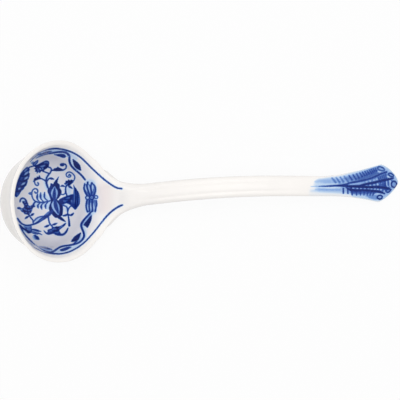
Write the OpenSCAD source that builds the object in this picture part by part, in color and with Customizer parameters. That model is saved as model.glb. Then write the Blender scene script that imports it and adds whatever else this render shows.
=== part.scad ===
// Porcelain soup ladle with a plume-shaped handle end, lying on a table.
// Sizes are in millimetres. The flat under the bowl is at the origin,
// the handle runs along +X and +Z is up.

/* [Bowl] */
// Outside diameter of the flared rim
rim_d = 93.2; // [80:0.2:120]
// Outside diameter of the round body under the flare
body_d = 77.4; // [66:0.2:100]
// Wall thickness, measured outward from the middle of the body
wall = 3.3; // [2.6:0.1:5]
// Depth of the body's middle under the rim plane
body_drop = 8.8; // [5:0.2:14]
// Height of the flare under the rim plane
flare_height = 17; // [12:0.5:24]
// Rounding of the lip
lip_round = 1.4; // [0.8:0.1:2]
// How far the lip is drawn in at the far side of the bowl
far_draw = 2.2; // [0:0.1:4]
// Added thickness of the lip at the far side
far_lip = 0.8; // [0:0.1:1.6]
// Turn of the drawn-in side away from the handle's line
far_turn = 25; // [-40:1:40]
// Tilt of the rim plane toward the handle as the ladle lies
tilt = 40; // [34:1:46]
// Diameter of the flat that the bowl rests on
foot_d = 18; // [10:1:26]

/* [Throat] */
// Distance from the low side of the rim to the joint with the handle
throat_length = 17.5; // [17:0.5:26]
// Spread of the handle's root along the rim, on each side
root_spread = 17.5; // [12:0.5:22]
// Size of the blend between the rim and the handle's root
root_blend = 11; // [8:0.5:16]
// Depth of the trough that leads from the bowl to the handle
trough_depth = 1; // [0:0.1:2]

/* [Handle] */
// Distance from the low side of the rim to the tip, along the table
handle_reach = 222; // [180:1:290]
// Width of the shank at its joint with the bowl
shank_w = 16.4; // [13:0.1:20]
// Thickness of the shank at its joint with the bowl
shank_t = 10.4; // [8:0.1:13]
// Height of the handle's arch
arch_rise = 27; // [15:0.5:40]
// How far the top of the arch moves toward the bowl
arch_skew = 0.3; // [0:0.05:0.5]
// Sideways bow of the handle, left by the kiln
bow = 3.3; // [0:0.1:6]
// Depth of the two flutes along the top of the shank
flute_depth = 0.35; // [0:0.05:0.8]

/* [Fan end] */
// Length of the fan end, from its joint to the tip
fan_length = 74; // [60:1:95]
// Width over the two outer plumes
fan_w = 28.6; // [22:0.2:36]
// Thickness of the fan at its tip
fan_t = 4.4; // [3.4:0.1:7]
// Lean of the fan's end toward one side, as a share of its width
fan_lean = 0.13; // [0:0.01:0.25]
// Height of the plumes over the grooves between them
plume_height = 1; // [0.4:0.1:1.6]
// Height of the beads that end the plumes
bead_height = 1.1; // [0.4:0.1:1.8]

/* [Joints] */
// Thickness of the slip layer in each luted joint
slip_t = 0.4; // [0.2:0.1:0.8]

/* [Decoration] */
// Thickness of the painted film
film_t = 0.16; // [0.12:0.02:0.3]
// Clearance between the film and the clay's facets
film_gap = 0.12; // [0.1:0.01:0.16]
// Added clearance of the film over the throat's longer facets
throat_gap = 0.12; // [0:0.02:0.3]
// Width of the line inside the rim
line_w = 1.2; // [0.6:0.1:2]
// Width of the painted stems
stem_w = 0.9; // [0.5:0.1:1.2]

/* [Hidden] */
body_r = body_d / 2;
rim_r = rim_d / 2;
foot_r = foot_d / 2;
mouth_axis = [sin(tilt), 0, cos(tilt)];
mouth_side = [cos(tilt), 0, -sin(tilt)];
body_mid = [0, 0, sqrt(body_r * body_r - foot_r * foot_r)];
mouth_mid = body_mid + body_drop * mouth_axis;
flare = rim_r - sqrt(body_r * body_r - body_drop * body_drop);
low_rim = mouth_mid + rim_r * mouth_side;
neck_x = low_rim[0] + throat_length;
tip_x = low_rim[0] + handle_reach;
fan_x = tip_x - fan_length;
root_x = neck_x + 13;
root_run = 48;
root_z = low_rim[2] - 3;
arch_x = low_rim[0] + 5;
corner_x = tip_x - 0.2 * fan_length;
flare_x = tip_x - 0.8 * fan_length;
tip_z = fan_t / 2 - 1.7;
far = norm([neck_x, 0, body_mid[2]]) + 14;
section_power = 2.3;
root_thin = 0.26;
root_cup = 0.0085;
root_start = low_rim[0] - 1;
far_side = -cos(far_turn) * mouth_side + [0, sin(far_turn), 0];
drawn_rim_r = 46.6;
drawn_tilt = 40;
drawn_mid = 5.7;
drop_z = body_mid[2] + 9;
around = 76;
down = 21;
below = 200;

function clamp(v) = min(1, max(0, v));
function mix(a, b, t) = a + (b - a) * clamp(t);
function ease(t) = let (c = clamp(t)) c * c * (3 - 2 * c);
function blend_min(a, b, k) = let (h = max(k - abs(a - b), 0)) min(a, b) - h * h / (4 * k);
function blend_max(a, b, k) = -blend_min(-a, -b, k);
function soft_ramp(d, w) = (d + sqrt(d * d + w * w)) / 2;

// Handle: middle line, half width and half thickness at a distance x along the table
function along(x) = clamp((x - neck_x) / (tip_x - neck_x));
function arch_s(x) = clamp(soft_ramp(x - arch_x, 12) / soft_ramp(tip_x - arch_x, 12));
function mid_z(x) = let (s = arch_s(x))
  mix(root_z, tip_z, s) + arch_rise * sin(180 * s) * (1 + arch_skew * cos(180 * s));
function mid_y(x) = bow * sin(180 * clamp((x - neck_x + 8) / (flare_x + 2 - neck_x + 8)));
function shank_half(x) = shank_w / 2 * (1.01 - 0.12 * along(x));
function root_half(x) = root_spread * pow(clamp((root_x - x) / root_run), 1.8);
function fan_half(x) = x < corner_x
  ? mix(shank_half(x), fan_w / 2, pow(clamp((x - flare_x) / (corner_x - flare_x)), 1.75))
  : fan_w / 2 * pow(1 - pow(clamp((x - corner_x) / (tip_x - corner_x)), 1.4), 1 / 1.4);
function half_w(x) = x < flare_x ? shank_half(x) + root_half(x) : max(0.6, fan_half(x));
function half_t(x) = x < neck_x
  ? shank_t / 2 * mix(root_thin, 1, ease((x - neck_x + 34) / 34))
  : mix(shank_t / 2, fan_t / 2, along(x)) * sqrt(max(0.1, 1 - pow(clamp((x - tip_x + 6) / 6), 2)));

// Bowl with its throat, as a signed distance: negative inside the clay
function trough(x, y) = trough_depth * ease((neck_x - x) / 14) * exp(-pow(y / 7, 2));
function root(p) = let (
    a = half_w(p[0]),
    b = half_t(p[0]),
    m = section_power,
    y = p[1] - mid_y(p[0]),
    z = p[2] - mid_z(p[0]) - root_cup * ease((neck_x - p[0]) / 16) * y * y,
    zt = z > 0 ? z + trough(p[0], y) * clamp(z / b) : z,
    u = abs(y) / a,
    v = abs(zt) / b,
    q = max(0.000001, pow(pow(u, m) + pow(v, m), 1 / m)),
    slope = norm([pow(u, m - 1) / a, pow(v, m - 1) / b]) * pow(q, 1 - m))
  blend_max((q - 1) / max(slope, 0.001), root_start - p[0], 6);
function flare_s(h) = h > 0 ? clamp(1 - h / flare_height) : 1.25 - 0.25 * exp(4 * h / flare_height);
function bowl_field(p) = let (
    h = -(p - mouth_mid) * mouth_axis,
    s = flare_s(h),
    far_s = ease((p - mouth_mid) * far_side / rim_r),
    flare_here = flare - far_draw * far_s,
    steep = sqrt(1 + pow(2 * flare_here * s / flare_height, 2)),
    outside = (norm(p - body_mid) - body_r - flare_here * s * s) / steep,
    wall_here = wall + far_lip * far_s * s * s,
    cup = blend_max(outside, -h, lip_round),
    near_throat = ease((p[0] - low_rim[0] + 22) / 22) * ease(1 - (abs(p[1]) - 6) / 18))
  blend_max(blend_min(cup, root(p), root_blend), -outside - wall_here / steep,
    mix(lip_round, 6, near_throat));

// Rays through the field: where a ray enters the clay, where it leaves, and the surface normal
function refine(o, d, a, b, sign, n) = let (m = (a + b) / 2)
  n == 0 ? m
  : sign * bowl_field(o + m * d) < 0 ? refine(o, d, a, m, sign, n - 1)
  : refine(o, d, m, b, sign, n - 1);
function enter(o, d, r, step, last) = r > last ? -1
  : bowl_field(o + r * d) < 0 ? refine(o, d, r - step, r, 1, 9)
  : enter(o, d, r + step, step, last);
function leave(o, d, r, step, last) = r > last ? last
  : bowl_field(o + r * d) > 0 ? refine(o, d, r - step, r, -1, 9)
  : leave(o, d, r + step, step, last);
function slope_of(p, e) = [for (i = [0:2]) let (v = [for (j = [0:2]) i == j ? e : 0])
  bowl_field(p + v) - bowl_field(p - v)];
function normal_at(p) = let (g = slope_of(p, 0.2)) g / norm(g);

// Directions seen from the middle of the body: a turn about the mouth axis and a lift from the rim plane
function ray(turn, lift) = cos(lift) * (cos(turn) * mouth_side + [0, sin(turn), 0]) + sin(lift) * mouth_axis;
start_r = body_r - wall - 4;
function reach(d) = d[0] > 0.3 ? min(far, (neck_x + 4) / d[0]) : far;
function first_hit(d) = enter(body_mid, d, start_r, 0.7, reach(d));
function lip_lift(turn, a, b, n) = let (m = (a + b) / 2)
  n == 0 ? a
  : first_hit(ray(turn, m)) > 0 ? lip_lift(turn, m, b, n - 1)
  : lip_lift(turn, a, m, n - 1);
function turn_of(i) = let (t = i / around) 360 * t - 37 * sin(360 * t);
function lift_of(lip, j) = -90 + (lip + 90) * (1 - pow(1 - j / down, 1.7));

module bowl_shell() {
  lips = [for (i = [0:around - 1]) lip_lift(turn_of(i), 2, 40, 9)];
  pairs = [for (j = [1:down - 1]) [for (i = [0:around - 1]) let (
      d = ray(turn_of(i), lift_of(lips[i], j)),
      a = first_hit(d),
      b = leave(body_mid, d, a + 0.3, 0.7, reach(d)))
    [body_mid + a * d, body_mid + b * d]]];
  lip = [for (i = [0:around - 1]) let (d = ray(turn_of(i), lips[i])) body_mid + first_hit(d) * d];
  inner = [for (ring = pairs) for (pair = ring) pair[0]];
  outer = [for (j = [down - 2:-1:0]) for (pair = pairs[j]) pair[1]];
  pole_in = body_mid - (body_r - wall) * mouth_axis;
  pole_out = body_mid - body_r * mouth_axis;
  points = concat([pole_in], inner, lip, outer, [pole_out]);
  rings = 2 * down - 1;
  last = len(points) - 1;
  faces = concat(
    [for (i = [0:around - 1]) [0, 1 + i, 1 + (i + 1) % around]],
    [for (j = [0:rings - 2]) for (i = [0:around - 1]) let (k = 1 + j * around, m = (i + 1) % around)
      [k + i, k + around + i, k + m]],
    [for (j = [0:rings - 2]) for (i = [0:around - 1]) let (k = 1 + j * around, m = (i + 1) % around)
      [k + m, k + around + i, k + around + m]],
    [for (i = [0:around - 1]) let (k = last - around) [last, k + (i + 1) % around, k + i]]);
  polyhedron(points, faces, convexity = 8);
}

module bowl() {
  color("#f4f1ee")
  difference() {
    bowl_shell();
    translate([neck_x, -below / 2, -below / 2]) cube(below);
    translate([-below / 2, -below / 2, -below]) cube(below);
  }
}

// Fan end: grooves between the plumes, each from a start to an end before the tip and out to one side,
// and beads where the plumes stop, each with its place, half length and half width
grooves = [[0.65, 0.16, 0.545], [0.58, 0.09, 0.21], [0.61, 0.12, -0.364], [0.64, 0.19, -0.517]];
beads = [[0.19, 0.755, 4, 2.6], [0.1, 0.41, 3, 2.4], [0.057, -0.08, 3.4, 3], [0.13, -0.44, 2.6, 1.9],
  [0.195, -0.74, 3.6, 2.6]];
function groove_y(g, x) = g[2] * fan_w / 2
  * pow(max(0, (x - tip_x + g[0] * fan_length) / ((g[0] - g[1]) * fan_length)), 1.25);
function plume_edges(x) = concat([fan_half(x)], [for (g = grooves) groove_y(g, x)], [-fan_half(x)]);
function plume(x, y) = let (
    e = plume_edges(x),
    i = [for (k = [0:4]) if (y <= e[k] && y >= e[k + 1]) k],
    k = len(i) > 0 ? i[0] : 0,
    span = max(0.1, e[k] - e[k + 1]),
    q = clamp(abs(2 * y - e[k] - e[k + 1]) / span))
  len(i) > 0 ? plume_height * ease((x - flare_x + 8) / 24) * pow(1 - q * q, 0.7) : 0;
function bead(x, y) = max([for (b = beads) let (
    dx = (x - tip_x + b[0] * fan_length) / b[2],
    dy = (y - b[1] * fan_w / 2) / b[3])
  bead_height * sqrt(max(0, 1 - dx * dx - dy * dy))]);
function flutes(x, y) = let (
    fade = ease((x - neck_x) / 20) * ease((flare_x - x) / 60),
    v = (abs(y) / half_w(x) - 0.45) / 0.16)
  flute_depth * fade * exp(-v * v);

// Loft of the handle: a ring across the handle at each distance along it
function power(v, p) = sign(v) * pow(abs(v), p);
function lean(x) = fan_lean * ease((x - flare_x) / (corner_x - flare_x));
function ring_angle(i, top, under) = i < top ? 180 * i / top : 180 + 180 * (i - top) / under;
function ring(x, top, under, relief) = [for (i = [0:top + under - 1]) let (
    t = ring_angle(i, top, under),
    y = half_w(x) * power(cos(t), 2 / section_power),
    z = half_t(x) * power(sin(t), 2 / section_power),
    shape = relief ? max(plume(x, y), bead(x, y)) : 0)
  [x + lean(x) * y, mid_y(x) + y, mid_z(x) + z + (z > 0 ? shape - flutes(x, y) : 0)]];
module loft(rings) {
  n = len(rings[0]);
  last = len(rings) - 1;
  faces = concat(
    [[for (i = [0:n - 1]) i]],
    [for (j = [0:last - 1]) for (i = [0:n - 1]) let (k = j * n, m = (i + 1) % n)
      [k + i, k + n + i, k + m]],
    [for (j = [0:last - 1]) for (i = [0:n - 1]) let (k = j * n, m = (i + 1) % n)
      [k + m, k + n + i, k + n + m]],
    [[for (i = [n - 1:-1:0]) last * n + i]]);
  polyhedron([for (r = rings) for (q = r) q], faces, convexity = 6);
}

module handle_shank() {
  steps = 30;
  color("#f4f1ee")
  loft([for (j = [0:steps]) ring(mix(neck_x + slip_t, fan_x, j / steps), 20, 12, false)]);
}

module neck_slip_joint() {
  color("#e9e4de")
  loft([for (x = [neck_x, neck_x + slip_t]) ring(x, 20, 12, false)]);
}

module fan_slip_joint() {
  color("#e9e4de")
  loft([for (x = [fan_x, fan_x + slip_t]) ring(x, 20, 12, false)]);
}

module fan_terminal() {
  steps = 44;
  color("#6f97cf")
  difference() {
    loft([for (j = [0:steps]) let (t = 1 - pow(1 - j / steps, 1.4))
      ring(mix(fan_x + slip_t, tip_x - 0.3, t), 36, 12, true)]);
    translate([0, -below / 2, -below]) cube([2 * below, below, below]);
  }
}

// Painted films: strokes drawn as seen from above, seated on the clay and given a width.
// Each point is a place along the handle, a place across it and a half width.
function drawn(p) = let (k = rim_r / drawn_rim_r)
  [mouth_mid[0] + (p[0] - drawn_mid) * k * cos(tilt) / cos(drawn_tilt), p[1] * k];
function seat(p) = let (
    q = drawn(p),
    r = enter([q[0], q[1], drop_z], [0, 0, -1], 0, 0.9, drop_z))
  [q[0], q[1], drop_z - r];
function spline(a, b, c, d, t) = 0.5 * (2 * b + (c - a) * t + (2 * a - 5 * b + 4 * c - d) * t * t
  + (3 * b - a - 3 * c + d) * t * t * t);
function curve(w, n) = let (e = len(w) - 1) concat(
  [for (i = [0:e - 1]) for (k = [0:n - 1]) spline(w[max(0, i - 1)], w[i], w[i + 1], w[min(e, i + 2)], k / n)],
  [w[e]]);
function settle(p, n) = let (q = p - bowl_field(p) * n) q - bowl_field(q) * n;
function film_ring(p, way, half) = let (
    n = normal_at(p),
    s = cross(n, way),
    side = s / norm(s),
    l = settle(p + half * side, n),
    r = settle(p - half * side, n),
    gap = film_gap + throat_gap * ease((p[0] - low_rim[0] + 10) / 10),
    lo = gap * n,
    hi = (gap + film_t) * n)
  [l + lo, l + hi, p + hi, r + hi, r + lo, p + lo];
module film(points, halves) {
  e = len(points) - 1;
  loft([for (i = [0:e]) let (way = points[min(e, i + 1)] - points[max(0, i - 1)])
    film_ring(points[i], way, max(0.12, halves[i]))]);
}
module stroke(w, n = 3) {
  c = curve(w, n);
  film([for (q = c) seat(q)], [for (q = c) q[2]]);
}
function as_stem(w, half) = [for (q = w) [q[0], q[1], half]];
function over(w) = [for (q = w) [q[0], -q[1]]];
function turned(w) = [for (i = [len(w) - 1:-1:0]) w[i]];
function leaf(a, b, c, half) = [[a[0], a[1], 0.2], [b[0], b[1], half], [c[0], c[1], 0.2]];

// The line inside the rim, from one side of the throat round the back of the bowl to the other
line_front = [[52, 6.2], [48, 7.7], [45, 9.7], [41.5, 12.5], [38, 15.7], [34, 20], [30, 24.5], [26.5, 28],
  [23, 31.5], [19.5, 34.5], [15.5, 36.7], [11, 38.4], [5, 39.4], [0, 39], [-3, 38.2]];
line_back_lift = 3;
line_back_turn = 101;
function line_back(turn) = let (d = ray(turn, line_back_lift)) body_mid + first_hit(d) * d;

vine_up = [[-8, 34], [-3, 35.7], [4, 36.2], [9, 36.4], [12.5, 35.7], [15.5, 32.5], [15.3, 29.8], [17.7, 24.2],
  [23, 19], [26, 15.2]];
vine_down = [[28.8, -10.2], [24.7, -14.3], [21.3, -19], [22.8, -24.4], [23.2, -27.2], [19.5, -32],
  [11.7, -33.7], [4, -35], [-2, -36.6]];
vine_leaves = [
  leaf([4.4, 34.4], [9.5, 33.7], [12.3, 32.2], 1.4),
  leaf([18.2, 30.4], [20.8, 26.2], [23.5, 22.4], 1.9),
  leaf([29.3, -13], [26.6, -17.6], [25.3, -20.7], 2.1),
  leaf([21.2, -25], [17.4, -28.4], [13.4, -31], 1.8),
  leaf([12.7, -35.3], [8.5, -36.3], [5, -36.8], 0.9)];
bud = [[29.8, 12.5, 1.5], [29.9, 9, 4.2], [30.2, 4, 3.4], [30.4, 0.8, 4.2], [30.2, -3, 3.4], [29.8, -6, 3.6],
  [29.4, -8.6, 1.4]];
fruit = [[-16.4, 26.3, 0.4], [-18.6, 20.4, 2.5], [-20.6, 15.3, 2.9], [-22.6, 10.9, 2.2], [-24.6, 5.9, 0.4]];
blossom = [[6.8, 17.9, 0.3], [4.3, 13.5, 1.6], [2.9, 10.6, 4], [2.7, 6.9, 4.8], [2.8, 3.1, 3.6],
  [2.7, 0.5, 3], [3.8, -3, 4.4], [3.3, -6.7, 4.7], [4, -9.8, 3.4], [5, -12.2, 1.6], [9.2, -15.7, 0.3]];
pleat_cup = [[7.8, 0.5, 1], [10.3, 0.9, 2], [14.6, 1.1, 3]];
pleats = [[17.5, 10.9, 0.3], [18.2, 7.5, 1.7], [18.9, 3, 2.6], [18.7, -1.5, 2.6], [18, -4.5, 2.1],
  [17.4, -7.1, 0.4]];
stems = [
  [[-2.3, 10.3], [-3.2, 15.9], [-0.7, 20.4], [1.2, 22.4]],
  [[11.5, 4.8], [11.3, 6.9], [12, 10]],
  [[18.2, 15.5], [18.8, 17.6], [17.1, 20], [14.9, 21.2], [12.5, 19.7], [13.1, 17.9], [14.9, 17.3]],
  [[-1.8, 0.4], [-6.6, -0.1], [-12.3, 0.6], [-14.4, 4.3], [-14.2, 7.7], [-12.1, 10.2], [-9.8, 9.1]],
  [[-2.3, -12.5], [-1.5, -15.5], [-0.5, -17.6]],
  [[-14.2, -14.4], [-15.4, -12.6], [-16.6, -10.8]]];
sprays = [
  leaf([2.8, 23.4], [6, 23.9], [10, 23.3], 1.4),
  [[-10.8, 24.1, 0.6], [-6.2, 26.1, 3.2], [-2.4, 27.7, 2.4], [0, 29.1, 0.5]],
  leaf([-12.4, 15.4], [-9.4, 18], [-5, 16.2], 1.3),
  leaf([10.7, 12.6], [14, 13.2], [17, 14.2], 1.7),
  [[-2.8, -9.6, 1.2], [-4.9, -11, 1.2], [-9.1, -14.2, 1], [-14.2, -16.1, 0.9], [-18.6, -17, 0.8],
    [-22.4, -15.5, 0.5]],
  [[-17.6, -8.6, 0.6], [-19.5, -3.5, 3.4], [-22, 2.6, 0.7]],
  [[-5.1, -21.3, 0.5], [0.8, -21.9, 2.7], [5.7, -23.3, 1.9], [11, -22.2, 0.3]],
  leaf([-19, -19.6], [-14.2, -21.5], [-9, -23.3], 1.6),
  leaf([-14.5, -24.8], [-12.5, -26.4], [-10.5, -27.8], 1.2)];
leaflet_step = 3.1;

module rim_line() {
  half = line_w / 2;
  front = curve(as_stem(line_front, half), 3);
  back = curve(as_stem(over(line_front), half), 3);
  turns = [for (i = [0:16]) mix(line_back_turn, 360 - line_back_turn, i / 16)];
  points = concat(
    [for (q = front) seat(q)],
    [for (t = turns) line_back(t)],
    [for (q = turned(back)) seat(q)]);
  color("#27348b") film(points, [for (q = points) half]);
}

module border_vines() {
  color("#27348b") {
    stroke(as_stem(vine_up, stem_w / 2));
    stroke(as_stem(vine_down, stem_w / 2));
    for (w = vine_leaves) stroke(w);
  }
}

module border_bud() {
  color("#27348b") stroke(bud);
}

module border_fruit() {
  color("#27348b") stroke(fruit);
}

module centre_blossom() {
  color("#27348b") {
    stroke(blossom);
    stroke(pleat_cup);
    stroke(pleats);
  }
}

module centre_sprays() {
  color("#27348b") {
    for (w = stems) stroke(as_stem(w, stem_w / 2));
    for (w = sprays) stroke(w);
    for (i = [0:2], way = [1, -1]) {
      x = -3.2 - i * leaflet_step;
      stroke(leaf([x - 0.1, 1.6 * way], [x - 0.9, 3.6 * way], [x - 1.4, 5.4 * way], 0.6));
    }
  }
}

bowl();
neck_slip_joint();
handle_shank();
fan_slip_joint();
fan_terminal();
rim_line();
border_vines();
border_bud();
border_fruit();
centre_blossom();
centre_sprays();
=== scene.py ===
"""Looks of a porcelain soup ladle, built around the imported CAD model.

Lengths are in millimetres until a mesh is made. Painted strokes are given in the photograph's pixels and
are laid on the clay through the camera that takes the picture.
"""
import math

import bmesh
import bpy
import numpy as np
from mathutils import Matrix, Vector


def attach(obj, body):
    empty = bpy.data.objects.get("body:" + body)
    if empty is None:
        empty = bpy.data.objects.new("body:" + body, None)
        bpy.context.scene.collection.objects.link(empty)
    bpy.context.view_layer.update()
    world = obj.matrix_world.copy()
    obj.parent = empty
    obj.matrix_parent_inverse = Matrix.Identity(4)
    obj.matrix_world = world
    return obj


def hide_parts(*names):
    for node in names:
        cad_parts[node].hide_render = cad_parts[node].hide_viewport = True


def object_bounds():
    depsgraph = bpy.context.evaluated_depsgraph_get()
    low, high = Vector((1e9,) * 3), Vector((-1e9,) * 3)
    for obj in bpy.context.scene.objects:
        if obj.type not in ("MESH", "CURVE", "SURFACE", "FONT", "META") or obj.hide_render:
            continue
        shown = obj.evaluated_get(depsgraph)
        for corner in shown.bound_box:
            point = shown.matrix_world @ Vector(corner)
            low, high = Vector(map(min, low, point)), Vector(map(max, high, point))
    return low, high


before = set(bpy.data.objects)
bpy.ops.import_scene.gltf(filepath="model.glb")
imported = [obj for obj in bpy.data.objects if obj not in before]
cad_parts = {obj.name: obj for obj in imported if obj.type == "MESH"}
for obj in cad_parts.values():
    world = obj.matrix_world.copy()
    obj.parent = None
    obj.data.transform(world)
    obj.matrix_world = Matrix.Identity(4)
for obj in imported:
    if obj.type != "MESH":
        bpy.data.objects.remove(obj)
cad_low, cad_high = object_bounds()
MM = 0.001

# Sizes of the clay, as in the CAD source, but for a far lip that is drawn in 0.45 mm more and flutes that are
# 0.25 mm deeper
RIM_R, BODY_R, WALL, BODY_DROP = 46.6, 38.7, 3.3, 8.8
FLARE_HEIGHT, LIP_ROUND, FOOT_R, TILT = 17.0, 1.4, 9.0, math.radians(40)
FAR_DRAW, FAR_LIP, FAR_TURN = 2.65, 0.8, math.radians(25)
THROAT_LENGTH, ROOT_SPREAD, ROOT_BLEND, TROUGH_DEPTH = 17.5, 17.5, 11.0, 1.0
HANDLE_REACH, SHANK_W, SHANK_T = 222.0, 16.4, 10.4
ARCH_RISE, ARCH_SKEW, BOW, FLUTE_DEPTH = 27.0, 0.3, 3.3, 0.6
FLUTE_PLACE, FLUTE_WIDTH, FLUTE_START, FLUTE_END = 0.46, 0.15, 20, 60
FAN_LENGTH, FAN_W, FAN_T, FAN_LEAN, FAN_POWER, TIP_POWER = 74.0, 28.6, 4.4, 0.13, 1.75, 1.4
PLUME_HEIGHT, BEAD_HEIGHT, SLIP_T = 1.0, 1.1, 0.4
SECTION_POWER, SHANK_SWELL, SHANK_TAPER, ARCH_SOFT = 2.3, 1.01, 0.12, 12
ROOT_THIN, ROOT_CUP, ROOT_RUN, ROOT_POWER, ROOT_ROUND = 0.26, 0.0085, 48.0, 1.8, 6.0
CUP_RUN, TROUGH_RUN, TROUGH_HALF, THIN_RUN, TIP_RUN, LEAST_HALF = 16, 14, 7, 34, 6, 0.6
LIP_STRETCH, NEAR_RUN, NEAR_HALF, NEAR_FADE, NEAR_ROUND, FOOT_ROUND = 0.25, 22, 6, 18, 6, 0.5

FLARE = RIM_R - math.sqrt(BODY_R**2 - BODY_DROP**2)
MOUTH_AXIS = np.array([math.sin(TILT), 0, math.cos(TILT)])
MOUTH_SIDE = np.array([math.cos(TILT), 0, -math.sin(TILT)])
FAR_SIDE = -math.cos(FAR_TURN) * MOUTH_SIDE + np.array([0, math.sin(FAR_TURN), 0])
BODY_MID = np.array([0, 0, math.sqrt(BODY_R**2 - FOOT_R**2)])
MOUTH_MID = BODY_MID + BODY_DROP * MOUTH_AXIS
LOW_RIM = MOUTH_MID + RIM_R * MOUTH_SIDE
NECK_X = LOW_RIM[0] + THROAT_LENGTH
TIP_X = LOW_RIM[0] + HANDLE_REACH
FAN_X = TIP_X - FAN_LENGTH
ROOT_X, ROOT_Z, ROOT_START = NECK_X + 13, LOW_RIM[2] - 3, LOW_RIM[0] - 1
ARCH_X = LOW_RIM[0] + 5
CORNER_X, FLARE_X = TIP_X - 0.2 * FAN_LENGTH, TIP_X - 0.8 * FAN_LENGTH
BOW_START, BOW_END = NECK_X - 8, FLARE_X + 2
TIP_Z = FAN_T / 2 - 1.7

# Camera: straight above the table, turned a little
PHOTO_SIZE = 400
CAMERA_HEIGHT = 1800.0
MM_PER_PIXEL = 0.748
ROLL = math.radians(3.18)
MOUTH_PIXEL = (58.8, 200.9)
SCALE_HEIGHT = 43
FOCAL_PIXELS = (CAMERA_HEIGHT - SCALE_HEIGHT) / MM_PER_PIXEL
SENSOR_WIDTH = 36.0
IMAGE_RIGHT = np.array([math.cos(ROLL), -math.sin(ROLL), 0])
IMAGE_UP = np.array([math.sin(ROLL), math.cos(ROLL), 0])


def camera_place():
    """Where the camera hangs, so that the middle of the mouth falls on its pixel."""
    per_pixel = (CAMERA_HEIGHT - MOUTH_MID[2]) / FOCAL_PIXELS
    half = PHOTO_SIZE / 2
    place = (MOUTH_MID - (MOUTH_PIXEL[0] - half) * per_pixel * IMAGE_RIGHT
             + (MOUTH_PIXEL[1] - half) * per_pixel * IMAGE_UP)
    return np.array([place[0], place[1], CAMERA_HEIGHT])


CAMERA_AT = camera_place()


def to_pixels(p):
    """Photograph pixels of points on the ladle."""
    d = p - CAMERA_AT
    scale = FOCAL_PIXELS / -d[..., 2]
    return PHOTO_SIZE / 2 + d @ IMAGE_RIGHT * scale, PHOTO_SIZE / 2 - d @ IMAGE_UP * scale


# Shape of the clay
def clamp(v):
    return np.clip(v, 0, 1)


def mix(a, b, t):
    return a + (b - a) * clamp(t)


def ease(t):
    c = clamp(t)
    return c * c * (3 - 2 * c)


def blend_min(a, b, k):
    h = np.maximum(k - np.abs(a - b), 0)
    return np.minimum(a, b) - h * h / (4 * k)


def blend_max(a, b, k):
    return -blend_min(-a, -b, k)


def soft_ramp(d, w):
    return (d + np.sqrt(d * d + w * w)) / 2


def along(x):
    return clamp((x - NECK_X) / (TIP_X - NECK_X))


def mid_z(x):
    s = clamp(soft_ramp(x - ARCH_X, ARCH_SOFT) / soft_ramp(TIP_X - ARCH_X, ARCH_SOFT))
    return mix(ROOT_Z, TIP_Z, s) + ARCH_RISE * np.sin(np.pi * s) * (1 + ARCH_SKEW * np.cos(np.pi * s))


def mid_y(x):
    return BOW * np.sin(np.pi * clamp((x - BOW_START) / (BOW_END - BOW_START)))


def shank_half(x):
    return SHANK_W / 2 * (SHANK_SWELL - SHANK_TAPER * along(x))


def fan_half(x):
    wide = clamp((x - FLARE_X) / (CORNER_X - FLARE_X)) ** FAN_POWER
    a = shank_half(x) + (FAN_W / 2 - shank_half(x)) * wide
    b = FAN_W / 2 * (1 - clamp((x - CORNER_X) / (TIP_X - CORNER_X)) ** TIP_POWER) ** (1 / TIP_POWER)
    return np.where(x < CORNER_X, a, b)


def half_w(x):
    root = ROOT_SPREAD * clamp((ROOT_X - x) / ROOT_RUN) ** ROOT_POWER
    return np.where(x < FLARE_X, shank_half(x) + root, np.maximum(LEAST_HALF, fan_half(x)))


def half_t(x):
    a = SHANK_T / 2 * mix(ROOT_THIN, 1, ease((x - NECK_X + THIN_RUN) / THIN_RUN))
    end = np.sqrt(np.maximum(0.1, 1 - clamp((x - TIP_X + TIP_RUN) / TIP_RUN) ** 2))
    return np.where(x < NECK_X, a, mix(SHANK_T / 2, FAN_T / 2, along(x)) * end)


def root_field(p):
    """Signed distance to the root of the handle, as far as it runs into the bowl."""
    x, m = p[..., 0], SECTION_POWER
    a, b, y = half_w(x), half_t(x), p[..., 1] - mid_y(x)
    z = p[..., 2] - mid_z(x) - ROOT_CUP * ease((NECK_X - x) / CUP_RUN) * y * y
    trough = TROUGH_DEPTH * ease((NECK_X - x) / TROUGH_RUN) * np.exp(-(y / TROUGH_HALF) ** 2)
    z = np.where(z > 0, z + trough * clamp(z / b), z)
    u, v = np.abs(y) / a, np.abs(z) / b
    q = np.maximum(1e-6, (u**m + v**m) ** (1 / m))
    slope = np.hypot(u ** (m - 1) / a, v ** (m - 1) / b) * q ** (1 - m)
    return blend_max((q - 1) / np.maximum(slope, 1e-3), ROOT_START - x, ROOT_ROUND)


def bowl_field(p):
    """Signed distance to the bowl with its throat: negative inside the clay."""
    h = -(p - MOUTH_MID) @ MOUTH_AXIS
    above = 1 + LIP_STRETCH * (1 - np.exp(np.minimum(h, 0) / FLARE_HEIGHT / LIP_STRETCH))
    s = np.where(h > 0, clamp(1 - h / FLARE_HEIGHT), above)
    far = ease((p - MOUTH_MID) @ FAR_SIDE / RIM_R)
    flare = FLARE - FAR_DRAW * far
    steep = np.sqrt(1 + (2 * flare * s / FLARE_HEIGHT) ** 2)
    outside = (np.linalg.norm(p - BODY_MID, axis=-1) - BODY_R - flare * s * s) / steep
    hollow = -outside - (WALL + FAR_LIP * far * s * s) / steep
    cup = blend_max(outside, -h, LIP_ROUND)
    near = (ease((p[..., 0] - LOW_RIM[0] + NEAR_RUN) / NEAR_RUN)
            * ease(1 - (np.abs(p[..., 1]) - NEAR_HALF) / NEAR_FADE))
    body = blend_min(cup, root_field(p), ROOT_BLEND)
    clay = blend_max(body, hollow, mix(LIP_ROUND, NEAR_ROUND, near))
    return blend_max(clay, -p[..., 2], FOOT_ROUND)


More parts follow.
